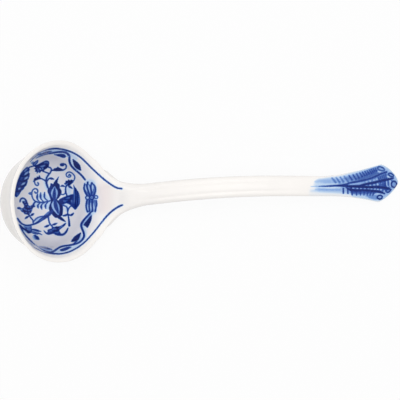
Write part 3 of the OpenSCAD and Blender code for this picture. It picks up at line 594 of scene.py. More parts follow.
CENTRE_SPRAYS = [
    line(PALE, 2.2, (47.2, 188), (45.6, 181), (48, 175), soft=1.2),
    line(PALE, 3.2, (40, 196.5), (45, 197), (47, 204), (41, 204.4), (36, 203.4), soft=1.4),
    line(PALE, 2.0, (65, 190), (69.5, 190.5), (66, 210), soft=1.4),
    line(DARK, 0.55, (47.9, 187.6, 0.7), (46.6, 183.6, 0.8), (46.2, 180.3, 0.7), (46.7, 177.6), (48.4, 174.9),
         (50.4, 172.4), (51.4, 169.8), (50.6, 168), (48.4, 167)),
    line(DARK, 0.45, (43, 171.3), (46.2, 172.4), (49.4, 173.6)),
    shape(0.55, (31, 162.6), (33, 161.2), (34.6, 162.4), (33.4, 164.4), (31.6, 164.2)),
    shape(DARK, (33.2, 165.8), (32.8, 163.4), (34.4, 161.8), (36.4, 160.5), (38.1, 159.9), (38.2, 162),
          (36.9, 164), (35, 165.9)),
    line(0.62, 0.4, (34.2, 164.4, 0.3), (36, 162.5), (37.2, 161.3, 0.2)),
    shape(0.95, (34.6, 166), (37.8, 164.2), (40.6, 162.8), (43.8, 161.2), (46.6, 160.4), (48.8, 161.4),
          (49.3, 163.6), (48.6, 166.2), (47, 168.2), (45, 169.6), (43.4, 171.2), (41.4, 171.3), (39.8, 172.8),
          (38.4, 172.3), (36.8, 173.6), (36.5, 171.9), (34.7, 171.5), (35.5, 169.9), (33.9, 168.7),
          (35.3, 167.6)),
    line(0.5, 0.4, (39.4, 168.6), (41.4, 168.8, 1.3), (43.4, 168.6, 0.5)),
    line(0.54, 0.3, (40.8, 166.4), (42.6, 166.3, 0.8), (44.6, 165.4)),
    line(0.66, 0.3, (44.2, 162.9), (46.4, 162.4, 0.7), (48, 163.4)),
    line(0.7, 0.3, (37.2, 168.4), (38.2, 170.6, 0.6), (39, 171.6, 0.2)),
    line(NAVY, 0.2, (40.4, 167.3), (41.6, 168.4), (42, 170)),
    line(0.99, 0.3, (44, 168.4), (46, 167, 0.7), (47.8, 165.4)),
    line(DARK, 0.5, (51.2, 170.4), (52.6, 170.2)),
    shape(NAVY, (52.4, 170.5), (54.2, 168.3), (56.2, 167.9), (57.8, 166.7), (59.2, 167.5), (61.4, 168.4),
          (64, 169.8), (61.6, 171), (57.6, 171.2), (54.4, 171.1)),
    line(DARK, 0.55, (62.6, 170.2), (65.2, 168.9), (66.3, 166.6), (65.6, 164.6), (63.6, 164, 0.7),
         (61.4, 164.2, 0.8), (60.8, 164.9, 0.8), (62, 165.4, 0.8), (63.6, 165.4, 0.4)),
    line(DARK, 0.5, (46.8, 182), (47.8, 180), (49.4, 178.5), (51.4, 178.5, 0.9), (53.8, 179.2, 0.3)),
    shape(NAVY, (33.2, 182.2), (33.7, 179.6), (34.8, 177.5), (36, 177.9), (37.2, 176.3), (38.2, 176.8),
          (39.4, 175.1), (40.6, 177.5), (41.8, 178.9), (38.8, 179.5), (36, 180.5)),
    line(DARK, 0.45, (39.6, 178), (42.9, 179.3), (46, 181.2)),
    line(0.78, 0.5, (34.6, 181.2), (34.9, 183.6), (36.4, 185.3), (38, 185.1), (38.6, 183.8),
         (37.8, 182.8, 0.6)),
    line(0.8, 0.5, (50.2, 200.8), (44.6, 202.1), (40.2, 202.4), (35.8, 201.5), (33, 198.8), (31.8, 195),
         (32.1, 191.4), (33.9, 189), (36.2, 188.8), (37.7, 190.4), (37.4, 192.3), (35.8, 193.1),
         (34.8, 192, 0.6)),
    line(0.7, 0.8, (29.4, 193.4), (30.6, 193.5, 1.3), (31.4, 193.5)),
    line(0.82, 0.3, (44.7, 192.4), (44.4, 195.4, 0.75), (44.8, 198, 0.45), (47.4, 200.6)),
    line(0.8, 0.3, (40.7, 192.8), (40.5, 196, 0.85), (40.9, 198.6, 0.45), (43.2, 201.4)),
    line(0.8, 0.3, (37.5, 193.8), (37.1, 197, 0.85), (37.4, 199.2, 0.45), (39.6, 201.8)),
    line(0.8, 0.3, (47.8, 202.4), (46, 204, 0.4), (45.4, 206.2, 0.8), (45.8, 208.4)),
    line(0.8, 0.3, (44, 203), (41.8, 204.6, 0.4), (41.2, 206.8, 0.85), (41.8, 209.2)),
    line(0.8, 0.3, (40, 203), (38.4, 204.4, 0.4), (37.8, 206.2, 0.8), (38.2, 208)),
    line(DARK, 0.4, (35.4, 202), (33.8, 203.6, 0.7), (33.4, 206.2, 0.9), (34.6, 206.4)),
    line(DARK, 0.6, (20, 201.6), (20.6, 199.4), (22.4, 198.2), (24.6, 198.9), (26.4, 201.2, 0.7)),
    line(0.3, 0.6, (21.8, 200.2, 0.4), (23.2, 199.9), (24.2, 200.7, 0.3)),
    shape(0.84, (22, 201.4), (24.6, 201), (27, 201.6), (28.2, 203.4), (28.6, 205), (30, 205.8), (31.8, 205),
          (33.6, 205.2), (33, 207.4), (32.4, 209.6), (31.6, 211.8), (30.4, 213.4), (28.6, 215.2),
          (26.6, 214.4), (24.8, 214.4), (23.2, 212.6), (21.2, 211.6), (20.2, 209.9), (17.8, 208.8),
          (18.2, 207.4), (20, 207.2), (22, 208.2), (23.6, 207.2), (24, 205.4), (22.8, 203.6)),
    line(0.55, 0.3, (20.2, 208.6), (21.4, 209.5, 0.7), (22.4, 210.4)),
    line(DARK, 0.5, (17.6, 208.2), (19.2, 207.9, 0.6), (20.4, 208.2, 0.2)),
    *[line(0.99, r, (x, y), (x + 0.5, y + 0.3), soft=0.5) for x, y, r in (
        (25.8, 203, 0.7), (26.6, 205.8, 0.8), (25.4, 208, 0.6), (27.4, 208.8, 0.8), (29.6, 208.6, 0.7),
        (31.6, 207.2, 0.6), (24.8, 211.4, 0.7), (27.6, 211.8, 0.7), (29.8, 211.6, 0.6), (23.2, 210, 0.5),
        (26.4, 213.4, 0.5), (23.4, 202.4, 0.4))],
    *[line(0.6, 0.3, (x, y), (x + 0.5, y + 0.2), soft=0.4) for x, y in (
        (26, 204.4), (28, 206.8), (25.8, 209.8), (28.6, 210.4), (31, 209.6), (26, 212.6), (24.2, 209),
        (29.4, 213), (30.2, 206.8), (24.6, 202))],
    line(DARK, 0.5, (28.8, 214.4), (30.4, 217.3), (32.8, 220.2), (33, 222.6)),
    leaf(DARK, (29, 215.9), (27, 217.2), (24.8, 218.9), 0.95),
    leaf(DARK, (30.6, 215.8), (32.2, 214.7), (34, 213.5), 1.0),
    line(0.3, 0.4, (34.6, 221.6), (38, 219.4, 1.0), (41.4, 218.2, 0.5), soft=0.6),
    line(0.78, 0.5, (42.6, 216.4), (38.8, 217.2), (35.7, 219.1), (33.4, 221.8)),
    line(0.86, 0.6, (51.6, 211, 1.3), (48.4, 214.4, 1.9), (45, 217, 1.7), (41.6, 219.6, 1.3),
         (38.4, 221.9, 1.0), (34.8, 223.8, 0.7), (30.6, 225), (26.8, 225.4), (23.2, 224.5),
         (20.1, 222.2, 0.7), (17.6, 218.6)),
    line(0.64, 0.3, (49.6, 211.6), (47.6, 213.4, 0.7), (45.2, 215.2)),
    line(0.68, 0.2, (44, 217.8), (42, 219.4, 0.5), (40, 220.8)),
    shape(0.82, (21.8, 226.4), (26.2, 226.2), (31.4, 226), (31.8, 228.4), (32.4, 230.4), (31.4, 232.4),
          (29.4, 233), (27.2, 232.2), (24.6, 230.8), (22.4, 228.8)),
    line(0.42, 0.2, (24.6, 226.6), (27.8, 227, 0.6), (31, 226.8, 0.3)),
    line(0.6, 0.4, (27, 229), (29, 229.2, 1.0), (30.8, 229.4, 0.5)),
    line(NAVY, 0.8, (20.2, 225.4, 0.5), (22.6, 228.2), (25.2, 230.4, 0.7), (28.4, 232.4), (30.6, 232.6, 0.3)),
    line(0.26, 0.2, (21.8, 225.6), (23.4, 226.8, 0.45), (25, 228.2)),
    line(0.3, 0.2, (22.6, 229.4), (24.6, 231, 0.45), (26.8, 232.4)),
    line(DARK, 0.55, (19.6, 225), (21.4, 228.8), (23.4, 232.4), (25.6, 235.4), (28.2, 238.4), (31, 241.2),
         (34.4, 244.2, 0.2)),
    line(0.99, 0.4, (24, 229), (25.6, 229.6), (27.4, 231)),
    leaf(DARK, (31, 229), (36, 230.4), (41.2, 231.5), 1.05),
    leaf(DARK, (32.4, 231.2), (36.8, 232.6), (42, 234.8), 0.75),
    leaf(0.8, (30.8, 232.2), (34, 233.3), (37.8, 234.4), 0.6),
    line(0.3, 0.2, (33, 230.9), (36.2, 231.8, 0.4), (39.4, 232.7)),
    shape(DARK, (33.4, 235.4), (35.2, 234.8), (37.2, 235.8), (38.8, 237.2), (39.6, 239.6), (37.4, 240),
          (35.2, 239.4), (34, 237.8)),
    line(0.55, 0.5, (34, 236.2, 0.3), (34.8, 238), (36, 239.2, 0.2)),
    line(0.3, 0.5, (32.6, 236.2), (33.2, 238), (34.4, 239.6)),
    line(0.8, 0.6, (48.4, 217.6), (48.8, 220.4), (49.8, 223.6), (52, 226.2)),
    leaf(DARK, (49.4, 225), (47, 226.2), (44.2, 227), 0.95),
    leaf(DARK, (52.2, 224.8), (54.6, 224.3), (57.2, 223.1), 0.95),
    shape(0.88, (52.2, 226.4), (54, 227), (56.4, 226.2), (58.6, 226.3), (60.8, 225.6), (63, 224.4),
          (65.4, 222.8), (66.2, 223.4), (64.6, 226), (62, 228), (59.9, 229.8), (59.5, 231.2), (60.6, 232.6),
          (60.6, 234.6), (57.8, 235.6), (55.4, 235), (53.6, 233.9), (51.4, 234.3), (48.8, 234.9),
          (46.4, 234.3), (44.4, 232.4), (43.6, 230.4), (44.6, 230.7), (46.2, 232.2), (47.6, 231.9),
          (47.5, 230), (49.4, 229), (51.4, 228.4)),
    line(DARK, 1.0, (58.6, 234.4, 1.2), (61.6, 234.8), (64.4, 233.8, 0.9), (66.6, 231.2, 0.8),
         (68.1, 228, 0.3)),
    line(0.66, 0.2, (52.4, 229.6), (54.4, 228.8, 0.6), (56, 229.4)),
    line(0.68, 0.2, (49.4, 231.4), (51.2, 230.8, 0.5), (52.6, 231.6)),
    line(0.66, 0.2, (55.4, 232.2), (57.2, 232.8, 0.5), (58.6, 232)),
    line(0.68, 0.2, (58.6, 228.4), (60.6, 227.2, 0.5), (62.6, 225.8)),
    line(0.99, 0.2, (51.6, 232.6), (54, 231.4, 0.5), (57, 230.6, 0.5), (58.6, 229.6)),
    line(0.99, 0.2, (55, 227.6), (57.4, 227.8, 0.5), (59.4, 226.8)),
    line(0.8, 0.45, (61, 194.1), (63, 194.6), (64.8, 193.7), (65.7, 191.8)),
    line(DARK, 0.5, (66.5, 185.6, 0.6), (65.6, 188.3), (65.9, 192), (67, 195.8)),
    shape(NAVY, (64, 183.9), (65.2, 182.4), (65.9, 180.7), (67.5, 180.7), (68.6, 179.4), (70, 180.2),
          (71.4, 179.5), (73.3, 180.5), (72.8, 182.6), (71.4, 184.1), (69, 186), (67, 185.6), (65.4, 184.7)),
    line(0.6, 0.2, (65.4, 184), (66.6, 184.4, 0.4), (67.6, 183.4)),
    leaf(DARK, (65, 186.6), (62.6, 185.8), (60.6, 186.3), 0.85),
    leaf(DARK, (68.4, 186.6), (70.4, 187.1), (72.4, 188.7), 0.85),
    line(0.8, 0.42, (72.6, 182.2), (74.5, 179), (74.6, 176.2), (72.6, 173.5), (69.6, 172), (66.9, 173),
         (66.2, 175.1), (67.6, 176.9), (69.8, 177), (70.8, 175.6), (69.6, 174.4), (68.8, 175.2, 0.6)),
    line(0.8, 0.5, (62.8, 205.2), (66.2, 206.6), (67.6, 209.6), (67.6, 213.8)),
    line(0.8, 0.5, (71.4, 205.4), (69, 208.2), (67.7, 211)),
    line(DARK, 0.7, (67.4, 214.4), (65.4, 215.4, 0.8), (63.2, 215.8, 0.5)),
    line(DARK, 0.6, (68, 214.4, 0.7), (70, 215.2), (71.8, 214.8, 0.95), (73.5, 213.2, 0.4)),
    line(DARK, 0.5, (68.2, 215.6), (69, 220.4, 0.7), (69.3, 225.6, 0.95)),
]


def smooth(points, closed, n=5):
    """A curve through the points, with n steps between each two."""
    w = np.asarray(points, float)
    if len(w) < 3:
        return w
    if closed:
        p = [np.roll(w, k, 0) for k in (1, 0, -1, -2)]
    else:
        e = len(w) - 1
        at = np.arange(e)
        p = [w[np.maximum(at - 1, 0)], w[at], w[at + 1], w[np.minimum(at + 2, e)]]
    t = (np.arange(n) / n)[None, :, None]
    a, b, c, d = (q[:, None] for q in p)
    curve = 0.5 * (2 * b + (c - a) * t + (2 * a - 5 * b + 4 * c - d) * t**2 + (3 * b - a - 3 * c + d) * t**3)
    curve = curve.reshape(-1, w.shape[1])
    return curve if closed else np.concatenate([curve, w[-1:]])


def to_segment(x, y, a, b):
    """Distance of each pixel to the segment from a to b, and the share of the way along it."""
    dx, dy = b[0] - a[0], b[1] - a[1]
    t = np.clip(((x - a[0]) * dx + (y - a[1]) * dy) / max(dx * dx + dy * dy, 1e-9), 0, 1)
    return np.hypot(x - a[0] - t * dx, y - a[1] - t * dy), t


def coverage(stroke, x, y):
    """How fully a stroke covers each pixel, from 0 to 1."""
    kind, _, soft, points = stroke
    closed = kind == "shape"
    w = smooth(points, closed)
    best = np.full(x.shape, 1e9)
    inside = np.zeros(x.shape, bool)
    for a, b in zip(w if closed else w[:-1], np.roll(w, -1, 0) if closed else w[1:]):
        far, t = to_segment(x, y, a, b)
        best = np.minimum(best, far - (a[2] + t * (b[2] - a[2])))
        if closed and a[1] != b[1]:
            inside ^= ((a[1] > y) != (b[1] > y)) & (x < a[0] + (y - a[1]) * (b[0] - a[0]) / (b[1] - a[1]))
    best = np.where(inside, -best, best)
    ragged = np.sin(2.3 * x + 1.1 * y) * np.sin(1.9 * y - 1.3 * x + 1)
    ragged += 0.6 * np.sin(4.7 * x + 2) * np.sin(4.1 * y)
    return np.clip(0.5 - (best + RAGGED * ragged) / (2 * soft), 0, 1)


def paint(strokes, x, y, tone, cover):
    """Lays strokes over what is painted already."""
    for stroke in strokes:
        w = np.asarray(stroke[3])
        room = w[:, 2].max() + 2 * stroke[2] + 1.5
        near = np.flatnonzero((x > w[:, 0].min() - room) & (x < w[:, 0].max() + room)
                              & (y > w[:, 1].min() - room) & (y < w[:, 1].max() + room))
        if not len(near):
            continue
        a = coverage(stroke, x[near], y[near])
        new = tone[near] + (stroke[1] - tone[near]) * a
        tone[near] = np.maximum(tone[near], new) if stroke[1] == PALE else new
        cover[near] = 1 - (1 - cover[near]) * (1 - a)


def covered(strokes, x, y):
    cover = np.zeros(x.shape)
    paint(strokes, x, y, np.zeros(x.shape), cover)
    return cover


# Far side of the bowl, which the lip hides in the photograph: a guess in the same manner. The border is drawn
# by turn and lift in degrees, the wall below it on a sheet of its own in pixels.
PIXELS_PER_DEGREE, FAR_MIDDLE = 0.83, math.radians(-42)
EVERYWHERE = (-999, -999, 999, 999)


def moved(strokes, rule, box=EVERYWHERE):
    """Copies of the strokes that lie in the box, with their points carried by the rule."""
    copies = []
    for kind, tone, soft, points in strokes:
        if all(box[0] < x < box[2] and box[1] < y < box[3] for x, y, _ in points):
            copies.append((kind, tone, soft, [(*rule(x, y), half) for x, y, half in points]))
    return copies


def by_angle(strokes):
    return moved(strokes, lambda turn, lift: (PIXELS_PER_DEGREE * turn, -PIXELS_PER_DEGREE * lift))


def both_sides(strokes):
    """Strokes by turn and lift, with their mirror images across the far side."""
    return by_angle(strokes) + by_angle(moved(strokes, lambda turn, lift: (360 - turn, lift)))


FAR_RIM = both_sides([
    line(DARK, 0.5, (95, 5.4), (101, 5.2), (108, 5.3), (114, 5.4), (130, 5.5), (146, 5.5), (163, 5.5),
         (181, 5.5)),
])
FAR_VINES = both_sides([
    line(PALE, 1.6, (104, -16), (112, -4), (123, -1), (132, -6), (140, -11), (150, -11), (158, -5), soft=1.2),
    line(DARK, 0.75, (101, -24, 0.4), (106, -12), (113, -4), (122, -2), (131, -6.5), (139, -12), (149, -12.5),
         (157, -7), (163, -3), (167, -1)),
    line(NAVY, 0.2, (112.5, -9.5), (116, -10.5, 1.5), (120, -12.5, 2.0), (124, -16.5)),
    line(NAVY, 0.2, (131, -2.5), (135, -3, 1.5), (140, -2, 2.0), (146, 1)),
    line(NAVY, 0.2, (147, -17), (152, -17, 1.4), (156.5, -15, 1.8), (161, -10.5)),
    line(0.34, 0.7, (132, -4.4), (137, -5.6), (142, -5.4), soft=0.5),
    line(0.34, 0.7, (114, -8), (119, -9), (123, -13), soft=0.5),
    line(DARK, 0.4, (120, -2), (126, 0.6), (128, 3, 0.6), (124.6, 3.2, 0.5), (125, 1.4, 0.3)),
])
FAR_BUD = moved(BORDER_BUD, lambda x, y: (PIXELS_PER_DEGREE * 180 + y - 197.5, 91 - x + 2))
SPRAY_BOX, FERN_BOX = (30, 158, 68, 189), (28, 186, 51, 211)
FAR_SPRAYS = [
    *moved(CENTRE_SPRAYS, lambda x, y: (x - 25, y - 170), SPRAY_BOX),
    *moved(CENTRE_SPRAYS, lambda x, y: (25 - x, y - 170), SPRAY_BOX),
    *moved(CENTRE_SPRAYS, lambda x, y: (y - 201.4, x - 36), FERN_BOX),
    line(DARK, 0.6, (22.6, 17.4), (18, 21), (10, 24.4), (1, 27.6, 0.4)),
    line(DARK, 0.6, (-22.6, 17.4), (-18, 21), (-10, 24.4), (-1, 27.6, 0.4)),
    line(DARK, 0.5, (-0.6, 14), (-0.3, 20), (0.4, 26.6)),
    shape(0.82, (16, 27.4), (22, 24), (29, 21.4), (36, 17.6), (38.5, 18.4), (32, 24), (24, 27)),
    leaf(DARK, (24, 24), (27, 19.6), (28.4, 14), 1.0),
    leaf(DARK, (30, 21.4), (33.4, 16.4), (35, 10.4), 1.0),
    leaf(DARK, (36, 17.6), (39.4, 13), (41, 7.4), 0.9),
    leaf(DARK, (-7.4, 24.6), (-10.4, 20.4), (-14.4, 18.2), 1.0),
    leaf(DARK, (7.4, 24.8), (10, 20.4), (14, 17.6), 1.0),
]
FAR_FRUIT = [
    shape(DARK, (-39, 19), (-34, 16.4), (-28, 17), (-20, 19.6), (-13, 22.4), (-6.6, 26.4), (-8, 29.4),
          (-15, 29.4), (-24, 28), (-32, 25.4), (-37.4, 22)),
    line(0.38, 0.9, (-35, 19.6, 0.3), (-32.6, 18.6), (-31, 20, 0.4)),
    line(0.38, 0.9, (-28.6, 20.6, 0.3), (-26, 19.8), (-24.6, 21.6, 0.4)),
    line(0.38, 0.9, (-21.6, 22.6, 0.3), (-19.4, 22), (-18, 23.6, 0.4)),
    line(0.38, 0.8, (-14.6, 25, 0.3), (-12.8, 24.8), (-11.6, 26.2, 0.4)),
]
# Each painted node with its strokes: as photographed, hidden by turn and lift, hidden on the sheet, all round
PAINTED = [("rim_line", RIM_LINE, [], [], FAR_RIM), ("border_vines", BORDER_VINES, FAR_VINES, []),
           ("border_bud", BORDER_BUD, FAR_BUD, []), ("border_fruit", BORDER_FRUIT, [], FAR_FRUIT),
           ("centre_blossom", CENTRE_BLOSSOM, [], []), ("centre_sprays", CENTRE_SPRAYS, [], FAR_SPRAYS)]

# Fan end: painted and carved lines in the photograph's pixels
FAN_GROOVES = [
    [(313, 186.5), (320, 186.3), (326.7, 186.2), (333.3, 185.8), (340, 185.4), (346.7, 184.2), (350, 182.9),
     (360, 181.2), (370, 178.7), (376.7, 176), (381.7, 173.5), (386.5, 172)],
    [(338, 185.7), (348.3, 186.3), (355, 186.2), (360, 185.8), (365, 184.4), (373.3, 182.7), (380, 181.1),
     (386.7, 179.7), (393.5, 178)],
    [(350, 186.4), (360, 186.8), (370, 187.2), (376.7, 187), (383.3, 187.7), (388.3, 188.7), (391, 189.9)],
    [(346, 187.6), (351, 190), (356.7, 190.4), (366.7, 190.4), (373.3, 191), (380, 192), (384.5, 193.6)],
]
FAN_BEADS = [(381, 168.8, 4.0, 1.9, 20), (391, 175, 3.0, 1.6, 30), (394, 184.3, 2.9, 3.4, 0),
             (388, 190.7, 2.4, 1.7, -20), (379.8, 197.2, 2.7, 2.1, -8)]
UPPER_TICKS = [((332, 178), (335.7, 182.3)), ((336.3, 177.7), (339.7, 182.3)),
               ((340.3, 177.2), (343.4, 181.7)), ((344.3, 176.5), (348, 181.4)),
               ((349, 175.6), (352.1, 179.9)), ((353, 174.7), (356, 179.2)), ((356.6, 173.8), (359, 177.8)),
               ((359.8, 172.8), (362.3, 176.6)), ((362.4, 172), (364.8, 175.6)),
               ((364.8, 171.2), (367.1, 174.8)), ((367, 170.5), (369.2, 173.8)),
               ((369.2, 169.8), (371.4, 173)), ((371.2, 169.2), (373.2, 172.2)),
               ((373.2, 168.6), (374.8, 171.4)), ((375.2, 168.2), (376.8, 171))]
LOWER_TICKS = [((343.3, 188.6), (343.4, 193.2)), ((347.8, 189), (347.9, 193.4)),
               ((351.6, 187), (352.2, 194.8)), ((356.4, 190.6), (356.6, 195.2)),
               ((360.6, 190.8), (360.4, 195)), ((364.6, 190.8), (364, 195)), ((368.2, 190.8), (367.2, 195)),
               ((371.4, 191.2), (370, 195.2)), ((374.2, 191.6), (372.8, 195.4))]
FINE_TICKS = [((378.4, 177.6), (379.4, 180.2)), ((380.2, 176.8), (381.2, 179.6)), ((382, 175.8), (383, 179)),
              ((383.8, 175), (384.8, 178.4)), ((385.5, 174.4), (386.3, 178)), ((379, 182), (379.2, 185)),
              ((380.6, 181.9), (380.8, 185.2)), ((382.2, 181.8), (382.4, 185.8)),
              ((383.6, 181.6), (383.8, 186.2))]
WHITE_DOTS = [(353, 188), (357, 188.3), (360.7, 188.3), (364.5, 188.5), (368.2, 188.7), (371.2, 188.9),
              (374.5, 189.2), (377.5, 189.4), (380.7, 189.8), (366, 185.5), (370, 185.4), (374, 185),
              (377.3, 184.7), (366.3, 181.8), (370, 181), (373.7, 180.1), (376.3, 179.2)]


def ellipse(bead, share, n=24):
    """Points of a bead's outline, drawn in to a share of its size."""
    x, y, a, b, turn = bead
    t = np.arange(n + 1) * 2 * np.pi / n
    c, s = math.cos(math.radians(turn)), math.sin(math.radians(turn))
    u, v = share * a * np.cos(t), share * b * np.sin(t)
    return [(x + c * i - s * j, y + s * i + c * j) for i, j in zip(u, v)]


FAN_WASH = [
    shape(0.05, (309, 192), (312, 186), (316, 180), (326, 177), (340, 175.6), (352, 173), (370, 167),
          (380, 164.5), (399, 177), (398, 187), (378, 202), (356, 197.4), (330, 195.6), (314, 195), soft=2.6),
    shape(0.2, (315, 184.5), (319, 180.4), (327, 178.8), (340, 176.8), (350, 174), (360, 171.2), (370, 168),
          (378, 165), (388, 168.4), (396, 176), (398, 183), (394, 190.5), (386, 197), (378, 200.8),
          (368, 198.4), (356, 196), (342, 194), (328, 193), (316, 192.2), (311, 190.8), (316, 188.6),
          soft=2.2),
    shape(0.35, (322, 183), (325, 179.8), (340, 177.4), (350, 174.6), (364, 170.4), (378, 165.6), (390, 170),
          (397, 180), (392, 192), (380, 199.4), (364, 196.6), (348, 193.4), (334, 191.6), (319, 190.6),
          (323, 187.6), soft=2.2),
    line(0.36, 1.3, (315.6, 181.8, 0.4), (319, 181), (324, 180.8), (329, 180.8), (334, 180.2), soft=1.6),
    line(0.3, 0.2, (315, 181.6), (317, 182.1, 0.5), (319, 182), soft=0.6),
    line(0.15, 0.7, (314, 184.2, 0.3), (322, 184.3), (330, 184.4), (337, 184), soft=0.8),
    line(0.42, 0.3, (316, 189.6), (322, 189.2, 0.8), (328, 189.4, 1.0), (334, 189.6, 0.7), (340, 189.8),
         soft=1.4),
    line(0.13, 0.8, (320, 187.8, 0.3), (327, 187.7), (334, 187.6), (340, 187.7, 0.3), soft=0.7),
    line(0.06, 1.3, (311, 194.4), (320, 194.6), (330, 194.9), (342, 195.3), (352, 196.4), soft=1.8),
    shape(0.53, (344, 178.4), (354, 175), (366, 171.4), (377, 167.6), (379, 171), (383, 172.4), (376, 176),
          (366, 179.4), (354, 181.6), soft=1.6),
    shape(0.66, (356, 178.8), (364, 174.8), (370, 172.2), (376, 170.6), (380, 172.2), (375, 175.6),
          (366, 179), (360, 180.4), soft=1.2),
    shape(0.58, (360, 183), (370, 179.8), (378, 176), (386, 172.6), (388, 177.6), (378, 180.2), (368, 182.6),
          soft=1.0),
    shape(0.7, (350, 186), (360, 185), (370, 182.8), (380, 180.4), (386, 179.4), (386, 187), (380, 186.8),
          (364, 186.4), soft=1.2),
    shape(0.62, (379, 181), (392, 178), (391, 187.6), (381, 187), soft=1.0),
    shape(0.74, (350, 187), (362, 187.2), (374, 187.4), (386, 189), (384, 191.6), (374, 190.4), (362, 189.8),
          (351, 189.6), soft=0.8),
    shape(0.71, (350.6, 189.4), (358, 189.8), (368, 190), (376, 191), (383, 193), (374, 193.6), (362, 194),
          (352, 193.6), soft=1.2),
    shape(0.5, (366, 195.8), (374, 194.4), (377.5, 196), (377, 199.6), (370, 198.4), soft=0.8),
    line(0.22, 0.8, (353, 195.8), (360, 196.8), (367, 197.8), soft=0.9),
    line(0.38, 0.8, (346, 185, 0.4), (350, 184.8), (355, 184.1), (360, 183.3), (364, 182.6, 0.3), soft=0.6),
    line(0.36, 1.0, (378, 183.4), (381, 183.2), (384, 183.4), soft=0.9),
    line(0.34, 1.2, (386.7, 181.6, 0.9), (387, 184), (388, 186.4, 0.6)),
    line(0.3, 0.8, (389.8, 180.8), (390.3, 183, 1.2), (390.4, 186.4, 0.7)),
    line(0.26, 0.8, (376.2, 169.6, 0.5), (377.8, 171.4), (381, 171.6), (385.4, 171.2, 0.4)),
    line(0.24, 0.75, (387.4, 176.2, 0.6), (389.8, 177.3), (393.8, 177.2, 0.4)),
    line(0.34, 0.9, (384.2, 190.6, 0.5), (384.6, 192), (386, 193.4, 0.4)),
    line(0.28, 0.4, (374.6, 194.6), (378, 193.8, 0.8), (383.4, 194.9)),
    *[line(0.8, 0.5, (*a, 0.3), (*b, 0.6), soft=0.6) for a, b in UPPER_TICKS[4:]],
    *[line(0.66, 0.6, (*a, 0.2), (*b, 0.7), soft=0.8) for a, b in UPPER_TICKS[:4]],
    *[line(0.86, 0.65, (*a, 0.6), (*b, 0.45), soft=0.5) for a, b in LOWER_TICKS[:3]],
    *[line(0.8, 0.6, (*a, 0.7), (*b, 0.3), soft=0.5) for a, b in LOWER_TICKS[3:]],
    *[line(0.74, 0.4, a, b, soft=0.35) for a, b in FINE_TICKS],
    line(0.8, 0.6, (385, 181.2), (385.2, 186.8)),
    line(0.7, 0.7, (388.2, 180.6), (388.4, 184.8)),
    *[line(0.3, 0.75, p, (p[0] + 0.6, p[1]), soft=0.5) for p in WHITE_DOTS],
    line(0.45, 0.3, (311, 186.5, 0.1), (316, 186.4), (321, 186.3, 0.4), (327, 186.2, 0.5), soft=0.7),
    line(0.82, 0.7, (319, 186.3, 0), (326.7, 186.2, 0.4), *FAN_GROOVES[0][3:], soft=0.5),
    line(0.92, 0.85, (338, 185.7, 0.3), *FAN_GROOVES[1][1:-1], (393.5, 178, 0.4), soft=0.5),
    line(0.94, 0.95, (350, 186.4, 0.5), *FAN_GROOVES[2][1:-1], (391, 189.9, 0.4), soft=0.5),
    line(0.92, 0.9, (346, 187.6, 0.2), *FAN_GROOVES[3][1:-1], (384.5, 193.6, 0.4), soft=0.5),
    *[shape(t, *ellipse(b, 1.0)[:-1]) for b, t in zip(FAN_BEADS, (0.4, 0.46, 0.44, 0.56, 0.4))],
    *[line(t, 0.5, *ellipse(b, 0.9), soft=0.45) for b, t in zip(FAN_BEADS, (0.7, 0.78, 0.86, 0.8, 0.86))],
]


# Materials
def nodes_of(material):
    material.use_nodes = True
    tree = material.node_tree
    return tree, tree.nodes["Principled BSDF"]


def settle(node, values):
    """Gives a node's sockets their constants."""
    for socket, value in values.items():
        node.inputs[socket].default_value = value


def add(tree, kind, **settings):
    node = tree.nodes.new(kind)
    for key, value in settings.items():
        if key in node.inputs:
            node.inputs[key].default_value = value
        else:
            setattr(node, key, value)
    return node


def ramp(tree, stops):
    node = tree.nodes.new("ShaderNodeValToRGB")
    elements = node.color_ramp.elements
    while len(elements) < len(stops):
        elements.new(0.5)
    for element, (place, colour) in zip(elements, stops):
        element.position = place
        element.color = (*colour, 1)
    return node


# Colours: the clay, the grey of the hollow (a cooler glaze tint with painted shade), the throat's warm
# painted shade, and cobalt from thin to thick
CLAY = (0.9, 0.872, 0.843)
# Grey of the hollow: a cooler glaze tint with painted shade
HOLLOW_TINT_AND_SHADE = (0.75, 0.735, 0.762)
# Warm painted shade for the throat
THROAT_SHADE = (0.775, 0.7, 0.69)
COBALT = [(0.0, (0.71, 0.77, 0.85)), (0.2, (0.475, 0.62, 0.81)), (0.42, (0.18, 0.325, 0.66)),
          (0.58, (0.078, 0.168, 0.45)), (0.73, (0.018, 0.062, 0.32)), (0.87, (0.005, 0.023, 0.19)),
          (1.0, (0.001, 0.006, 0.085))]


def spread(tree, source, low, high, from_high=1.0):
    """Carries a value from the range between 0 and from_high to the one between low and high."""
    node = add(tree, "ShaderNodeMapRange", **{"From Max": from_high, "To Min": low, "To Max": high})
    tree.links.new(source, node.inputs["Value"])
    return node.outputs["Result"]


def noise(tree, place, scale, detail):
    node = add(tree, "ShaderNodeTexNoise", Scale=scale, Detail=detail)
    tree.links.new(place, node.inputs["Vector"])
    return node.outputs["Fac"]


def blended(tree, factor, a, b):
    """Colour a goes over into colour b as factor rises."""
    node = add(tree, "ShaderNodeMix", data_type="RGBA", clamp_factor=False)
    tree.links.new(factor, node.inputs[0])
    for source, socket in ((a, node.inputs[6]), (b, node.inputs[7])):
        if isinstance(source, tuple):
            socket.default_value = (*source, 1)
        else:
            tree.links.new(source, socket)
    return node.outputs[2]


def value_of(tree, key):
    """A value that is painted on the piece."""
    return add(tree, "ShaderNodeAttribute", attribute_name=key).outputs["Fac"]


